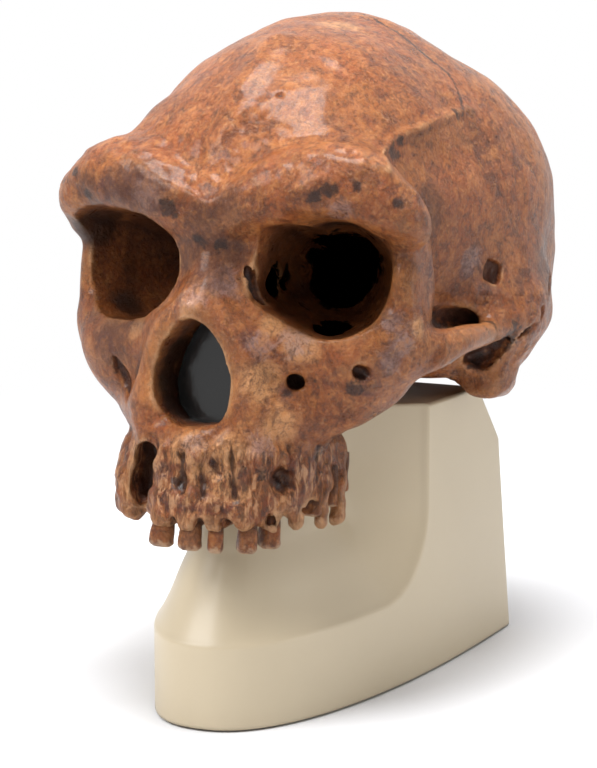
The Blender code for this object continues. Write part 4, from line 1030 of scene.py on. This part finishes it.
def build_tooth(name, number):
    """A tooth's radius: that of its plan, times a profile that swells below the gum and rounds at the tip.

    The plan is the squircle |cos a|^p + |sin a|^p = 1 / r^p, and two slow waves make it uneven.
    """
    across, along, gum, half_width, half_depth, height, lean = TEETH[name]
    rows = np.linspace(0, 1, TOOTH_ROWS)[:, None]
    angle = np.linspace(0, 2 * np.pi, TOOTH_COLUMNS, endpoint=False)[None, :]
    level = ROOT_MM - rows * (ROOT_MM + height)
    below = np.clip(-level / height, 0, 1)
    above = np.clip(level / ROOT_MM, 0, 1)
    profile = (0.84 + 0.16 * np.sin(np.pi * np.minimum(below * 1.1, 1) * 0.5)) * (1 - 0.3 * above)
    profile = profile * (1 - np.clip((below - 0.82) / 0.18, 0, 1) ** 2 * 0.35)
    plan = (np.abs(np.cos(angle)) ** SQUIRCLE + np.abs(np.sin(angle)) ** SQUIRCLE) ** (-1 / SQUIRCLE)
    rough = 1 + 0.06 * np.sin(3 * angle + number + 2 * rows)
    rough = rough + 0.05 * np.sin(5 * angle + 9 * rows + 2 * number)
    x = half_width * profile * plan * rough * np.cos(angle)
    y = half_depth * profile * plan * rough * np.sin(angle)
    grid = np.stack([x, y, level + 0 * angle], -1)
    ends = [grid[0] * (0, 0, 1), grid[-1] * (0.5, 0.5, 1) + (0, 0, DISH_MM[0]),
            grid[-1] * (0, 0, 1) + (0, 0, DISH_MM[1])]
    grid = np.concatenate([ends[0][None], grid, ends[1][None], ends[2][None]])
    outward = math.degrees(math.atan2(across, ROW_CENTRE_Y - along))
    turn = turn_of((0, 0, outward)) @ turn_of((-lean, 0, 0))
    points = grid.reshape(-1, 3) @ turn.T + (across, along, gum)
    piece = mesh_piece(name.replace("tooth", "peg"), to_world(points), grid_faces(*grid.shape[:2]))
    gum_share = np.concatenate([[0], below.ravel(), [1, 1]])
    attribute(piece, "from_gum", np.repeat(gum_share, TOOTH_COLUMNS))
    weld(piece)
    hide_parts(name)
    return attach(piece, "cranium")


teeth = [build_tooth(name, number) for number, name in enumerate(TEETH)]
print("teeth:", len(teeth))

# %% [markdown]
# ## Paint and plastic
#
# The cast is polyurethane resin, painted by hand: a brown ground, stains in soft patches, a dark wash
# that stays in the hollows, paint rubbed lighter on the ridges, and a semi-gloss lacquer over all. On
# top of these, painted shade darkens the hollows and the pits, black paint and painted shade fill the
# holes of the left orbit, and painted highlight lightens the ridges and some pale spots. Each layer is
# one mix in the node tree, so a table of layers is all that a new paint needs. The teeth share the
# ground and the relief of the bone.

# %% Painted resin
# Noises: size in mm, detail, roughness, distortion and how far the pattern is squeezed along X, Y and Z.
NOISES = {
    "broad": (30, 5, 0.62, 0.0, (1, 1, 1)), "washes": (15, 6, 0.65, 0.4, (1, 1, 1)),
    "stains": (21, 8, 0.72, 0.8, (1, 1, 1)), "clouds": (9, 6, 0.70, 0.4, (1, 1, 1)),
    "mottle": (3.4, 6, 0.72, 0.3, (1, 1, 1)), "flakes": (4.4, 9, 0.80, 0.7, (1, 1, 1)),
    "streaks": (2.4, 6, 0.72, 0.8, (1, 0.5, 0.65)), "grain": (2.2, 6, 0.70, 0.5, (1, 1, 0.3)),
    "fine": (1.2, 5, 0.70, 0.0, (1, 1, 1)),
}
# Layers of paint: colour, mask, the noise that breaks up its edge and by how much, from, to, strength.
# A mask is a noise above, the cracks, the pores or a number that is stored on the points.
GROUND_LAYERS = [
    ("#A86531", "broad", None, 0, 0.42, 0.66, 1.0), ("#8E4822", "washes", None, 0, 0.48, 0.62, 0.7),
    ("#5F3726", "stains", None, 0, 0.54, 0.64, 0.6),
]
PATCH_LAYERS = [
    # umber: a stain, and painted shade on the brow, the nose root and the sides turned from the light
    ("#5C3421", "patch_umber", "clouds", 1.4, 0.20, 0.75, 0.75),
    ("#9C5024", "patch_orange", "clouds", 1.4, 0.35, 0.85, 0.5),
    # pale: paler paint, and painted highlight on the jaw and the top of the vault
    ("#D29A68", "patch_pale", "clouds", 1.5, 0.30, 0.85, 0.75),
    ("#553134", "patch_purple", "clouds", 1.8, 0.40, 0.80, 0.7),
    ("#A88880", "patch_mauve", "flakes", 2.4, 0.40, 0.80, 0.6),
]
RELIEF_LAYERS = [
    ("#5A2E1A", "clouds", None, 0, 0.48, 0.39, 0.55), ("#BC7C4E", "clouds", None, 0, 0.52, 0.62, 0.45),
    ("#BC7A42", "streaks", None, 0, 0.50, 0.62, 0.45), ("#55291A", "mottle", None, 0, 0.46, 0.38, 0.5),
    ("#4C2613", "streaks", None, 0, 0.47, 0.40, 0.5), ("#4A2A1C", "flakes", None, 0, 0.44, 0.37, 0.55),
    ("#C48C5C", "flakes", None, 0, 0.56, 0.64, 0.4),
    ("#3A1E14", "cracks", "clouds", -0.05, 0.016, 0.004, 0.55),
    ("#CF9A66", "fine", None, 0, 0.55, 0.66, 0.3), ("#4A2617", "fine", None, 0, 0.45, 0.35, 0.35),
]
HOLLOW_LAYERS = [
    # more umber, stain and painted shade, broken by the mottle
    ("#5A3421", "patch_umber", "mottle", 0.9, 0.35, 0.95, 0.5),
    ("#3A1E14", "jaw", "grain", 2.6, 1.04, 1.22, 0.7), ("#D6A074", "jaw", "grain", -2.6, 1.00, 1.24, 0.75),
    ("#8A4426", "jaw", "mottle", 2.0, 0.98, 1.20, 0.5),
    ("#2C1710", "pores", "patch_pores", -0.50, 0.0, -0.14, 0.75),
    # lighter on small edges: rubbed paint and painted highlight
    ("#C58A54", "hollow_small", "mottle", 0.25, 0.45, 0.32, 0.3),
    # lighter on the sharpest edges: rubbed paint and painted highlight
    ("#D8A679", "edge", "mottle", 0.25, 0.41, 0.30, 0.6),
    # darker in small hollows: a dark wash and painted shade
    ("#3A1B0F", "hollow_small", "mottle", 0.12, 0.54, 0.62, 0.85),
    # dark spots: dark stains, and painted shade in the pits, the ears and under the cheek arches
    ("#26140F", "patch_dark", "mottle", 2.0, 0.50, 0.85, 0.85),
    ("#26140F", "suture_mm", "mottle", 5.0, 1.1, 0.3, 0.85),
    # near black deep in the large hollows: painted shade together with the dark wash
    ("#1A0C06", "hollow_large", None, 0, 0.63, 0.82, 0.85),
    # darker the deeper a point lies below the skin: painted shade in the orbits and the nose
    ("#4E2C1A", "cut_depth", "clouds", 6.0, 1.0, 9.0, 0.55),
    # painted shade in the orbits' corners and on the nose's inner wall
    ("#26130B", "patch_shade", "clouds", 0.9, 0.25, 0.80, 0.85),
    # black in the left orbit's holes: the cast's black inside and painted shade
    ("#030201", "patch_void", "clouds", 1.2, 0.33, 0.42, 1.0),
]
TOOTH_LAYERS = [
    ("#C9A583", "from_gum", "mottle", 1.2, 0.72, 1.0, 0.8),
    ("#2B150B", "from_gum", "clouds", 0.8, 0.30, 0.0, 0.6),
]
# Relief of the paint: noise, depth in mm and, where it isn't everywhere, the mask that scales it.
RELIEF = [("clouds", 1.8, None), ("mottle", 1.4, None), ("flakes", 1.2, None), ("streaks", 0.6, None),
          ("fine", 0.35, None)]
CRACK_MM, CRACK_BEND, PORE_MM = 9, (0.012,) * 3, 2.4    # plates between cracks, their bend in metres, pores
LACQUER = {"Specular IOR Level": 0.22, "Coat Weight": 0.18}
LACQUER_ROUGHNESS, COAT_ROUGHNESS = (0.24, 0.42), 0.18  # semi-gloss, duller where the clouds are


def painted_resin(name, ground, layers, relief, holes=()):
    """Paint in layers, each mixed in where mask + amount (noise - 1/2) goes from one value to another.

    The lacquer is left out where a mask in holes is high, because nothing shines inside a dark hole.
    """
    material, tree, shader = new_material(name)
    place = (add_node(tree, "ShaderNodeTexCoord"), "Object")
    masks = {}
    for key, (size_mm, detail, roughness, distortion, stretch) in NOISES.items():
        stretched = (add_node(tree, "ShaderNodeMapping", {0: place, 3: stretch}), 0)
        masks[key] = (add_node(tree, "ShaderNodeTexNoise", {
            "Vector": stretched, "Scale": 1000 / size_mm, "Detail": detail, "Roughness": roughness,
            "Distortion": distortion}), "Fac")
    bend = add_node(tree, "ShaderNodeVectorMath",
                    {0: (masks["clouds"][0], "Color"), 1: CRACK_BEND, 2: place}, operation="MULTIPLY_ADD")
    masks["cracks"] = (add_node(tree, "ShaderNodeTexVoronoi", {"Vector": (bend, 0), "Scale": 1000 / CRACK_MM},
                                feature="DISTANCE_TO_EDGE"), "Distance")
    masks["pores"] = (add_node(tree, "ShaderNodeTexVoronoi", {"Vector": place, "Scale": 1000 / PORE_MM}),
                      "Distance")
    used = {key for layer in layers for key in layer[1:3]} | {key for _, _, key in relief} | set(holes)
    for key in sorted(used - set(masks) - {None}):
        masks[key] = (add_node(tree, "ShaderNodeAttribute", attribute_name=key), "Fac")
    paint = linear(ground)
    for colour, mask, breaker, amount, low, high, strength in layers:
        value = masks[mask]
        if breaker:
            shift = add_node(tree, "ShaderNodeMath", {0: masks[breaker], 1: amount, 2: -amount / 2},
                             operation="MULTIPLY_ADD")
            value = (add_node(tree, "ShaderNodeMath", {0: value, 1: (shift, 0)}, operation="ADD"), 0)
        share = add_node(tree, "ShaderNodeMapRange", {"Value": value, "From Min": low, "From Max": high,
                                                      "To Max": strength}, interpolation_type="SMOOTHSTEP")
        paint = (add_node(tree, "ShaderNodeMix", {0: (share, "Result"), 6: paint, 7: linear(colour)},
                          data_type="RGBA"), 2)
    gloss = add_node(tree, "ShaderNodeMapRange", {
        "Value": masks["clouds"], "From Min": 0.3, "From Max": 0.7,
        "To Min": LACQUER_ROUGHNESS[0], "To Max": LACQUER_ROUGHNESS[1]})
    feed(tree, shader, {"Base Color": paint, "Roughness": (gloss, "Result"), "Coat Roughness": COAT_ROUGHNESS,
                        **LACQUER})
    for socket, most in LACQUER.items():
        for hole in holes:
            fade = add_node(tree, "ShaderNodeMapRange", {
                "Value": masks[hole], "From Min": 0.1, "From Max": 0.4, "To Min": most, "To Max": 0.0})
            feed(tree, shader, {socket: (fade, "Result")})
    below = None
    for key, depth_mm, scaled_by in relief:
        links = {"Height": masks[key], "Distance": depth_mm * MM,
                 "Strength": masks[scaled_by] if scaled_by else 1.0}
        if below:
            links["Normal"] = (below, "Normal")
        below = add_node(tree, "ShaderNodeBump", links)
    feed(tree, shader, {"Normal": (below, "Normal")})
    return material


# %% The paint on the bone and on the teeth
bone = painted_resin("painted_polyurethane_resin", "#8E4E27",
                     GROUND_LAYERS + PATCH_LAYERS + RELIEF_LAYERS + HOLLOW_LAYERS,
                     RELIEF + [("grain", 2.4, "jaw")], ["patch_void"])
for piece in cast_parts:
    piece.data.materials.append(bone)
tooth_paint = painted_resin("painted_resin_teeth", "#76472C", GROUND_LAYERS + RELIEF_LAYERS + TOOTH_LAYERS,
                            RELIEF + [("grain", 1.6, None)])
for tooth in teeth:
    tooth.data.materials.append(tooth_paint)
print("layers of paint on the bone:",
      sum(len(layers) for layers in (GROUND_LAYERS, PATCH_LAYERS, RELIEF_LAYERS, HOLLOW_LAYERS)))

# %% [markdown]
# ### Cream plastic and the small fittings
#
# The stand is cream ABS, moulded with a satin face and never painted. The post, its washer and nut, the
# sleeve and the screws are turned steel, the feet are rubber, and the ring under the cranium is pressed
# felt. A plain finish does for all of them: one colour with a faint cloud, and a fine grain as a bump.

# %% Cream plastic and the small fittings
CLOUD_SIZE = 20         # the faint cloud in a finish is this many times as large as its grain


def plain_finish(name, colour, roughness, grain_mm=1.0, bump_mm=0.02, tint=0.06, metallic=0.0, coat=0.0,
                 stretch=1):
    """A moulded or turned finish: one colour with a faint cloud in it, and a fine bump of a real grain."""
    material, tree, shader = new_material(name)
    coordinates = (add_node(tree, "ShaderNodeTexCoord"), "Object")
    place = (add_node(tree, "ShaderNodeMapping", {0: coordinates, 3: (1, 1, stretch)}), 0)
    base = linear(colour)
    darker = tuple(c * (1 - 2 * tint) for c in base[:3]) + (1,)
    cloud, grain = [add_node(tree, "ShaderNodeTexNoise", {"Vector": place, "Scale": 1000 / size, "Detail": 3})
                    for size in (grain_mm * CLOUD_SIZE, grain_mm)]
    mix = add_node(tree, "ShaderNodeMix", {0: (cloud, "Fac"), 6: base, 7: darker}, data_type="RGBA")
    bump = add_node(tree, "ShaderNodeBump",
                    {"Height": (grain, "Fac"), "Strength": 1.0, "Distance": bump_mm * MM})
    feed(tree, shader, {"Base Color": (mix, 2), "Roughness": roughness, "Metallic": metallic,
                        "Coat Weight": coat, "Coat Roughness": 0.15, "Normal": (bump, "Normal")})
    return material


FINISHES = {
    # cream ABS, satin from the polished mould
    "cream_abs": plain_finish("cream_moulded_abs", "#BDAE93", 0.42, 1.4, 0.01, 0.03, coat=0.1),
    # cream ABS sheet, cut to the plan and left matt
    "plate_abs": plain_finish("cream_sheet_abs", "#C1B39B", 0.55, 0.8, 0.02),
    # bright steel with fine turning marks round it
    "steel": plain_finish("turned_steel", "#C7C7C9", 0.28, 0.3, 0.01, 0.05, metallic=1.0, stretch=8),
    # dark felt, pressed hard, with no shine
    "felt": plain_finish("pressed_felt", "#3C3C40", 0.95, 0.5, 0.15, 0.2),
    # black rubber, dull and a little dusty
    "rubber": plain_finish("moulded_rubber", "#2B2B2B", 0.75, 0.6, 0.03, 0.1),
    # black lacquer, glossy and slightly wavy
    "panel": plain_finish("black_glossy_panel", "#101010", 0.16, 6.0, 0.15, 0.1, coat=0.1),
}
NODE_FINISH = {
    "base_plate": "plate_abs", "support_post": "steel", "post_washer": "steel", "post_nut": "steel",
    "post_socket": "steel", "seat_pad": "felt", "nasal_liner": "panel",
}
for number in (1, 2, 3, 4):
    NODE_FINISH["base_screw_%d" % number] = "steel"
    NODE_FINISH["foot_%d" % number] = "rubber"
stand.data.materials.append(FINISHES["cream_abs"])
for name, finish in NODE_FINISH.items():
    node_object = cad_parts[name]
    node_object.data.materials.clear()
    node_object.data.materials.append(FINISHES[finish])
print("finishes:", len(FINISHES), "on", len(NODE_FINISH), "pieces of the CAD model and the stand")

# %% [markdown]
# ## Sizes, and the end
#
# The dressed model has to stay in the CAD model's box, so both boxes are printed.

# %% Sizes and finish
low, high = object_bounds()
for title, ends in (("visual", (*low, *high)), ("CAD", (*cad_low, *cad_high))):
    print(title, "box, mm:", [round(1000 * v, 1) for v in ends])
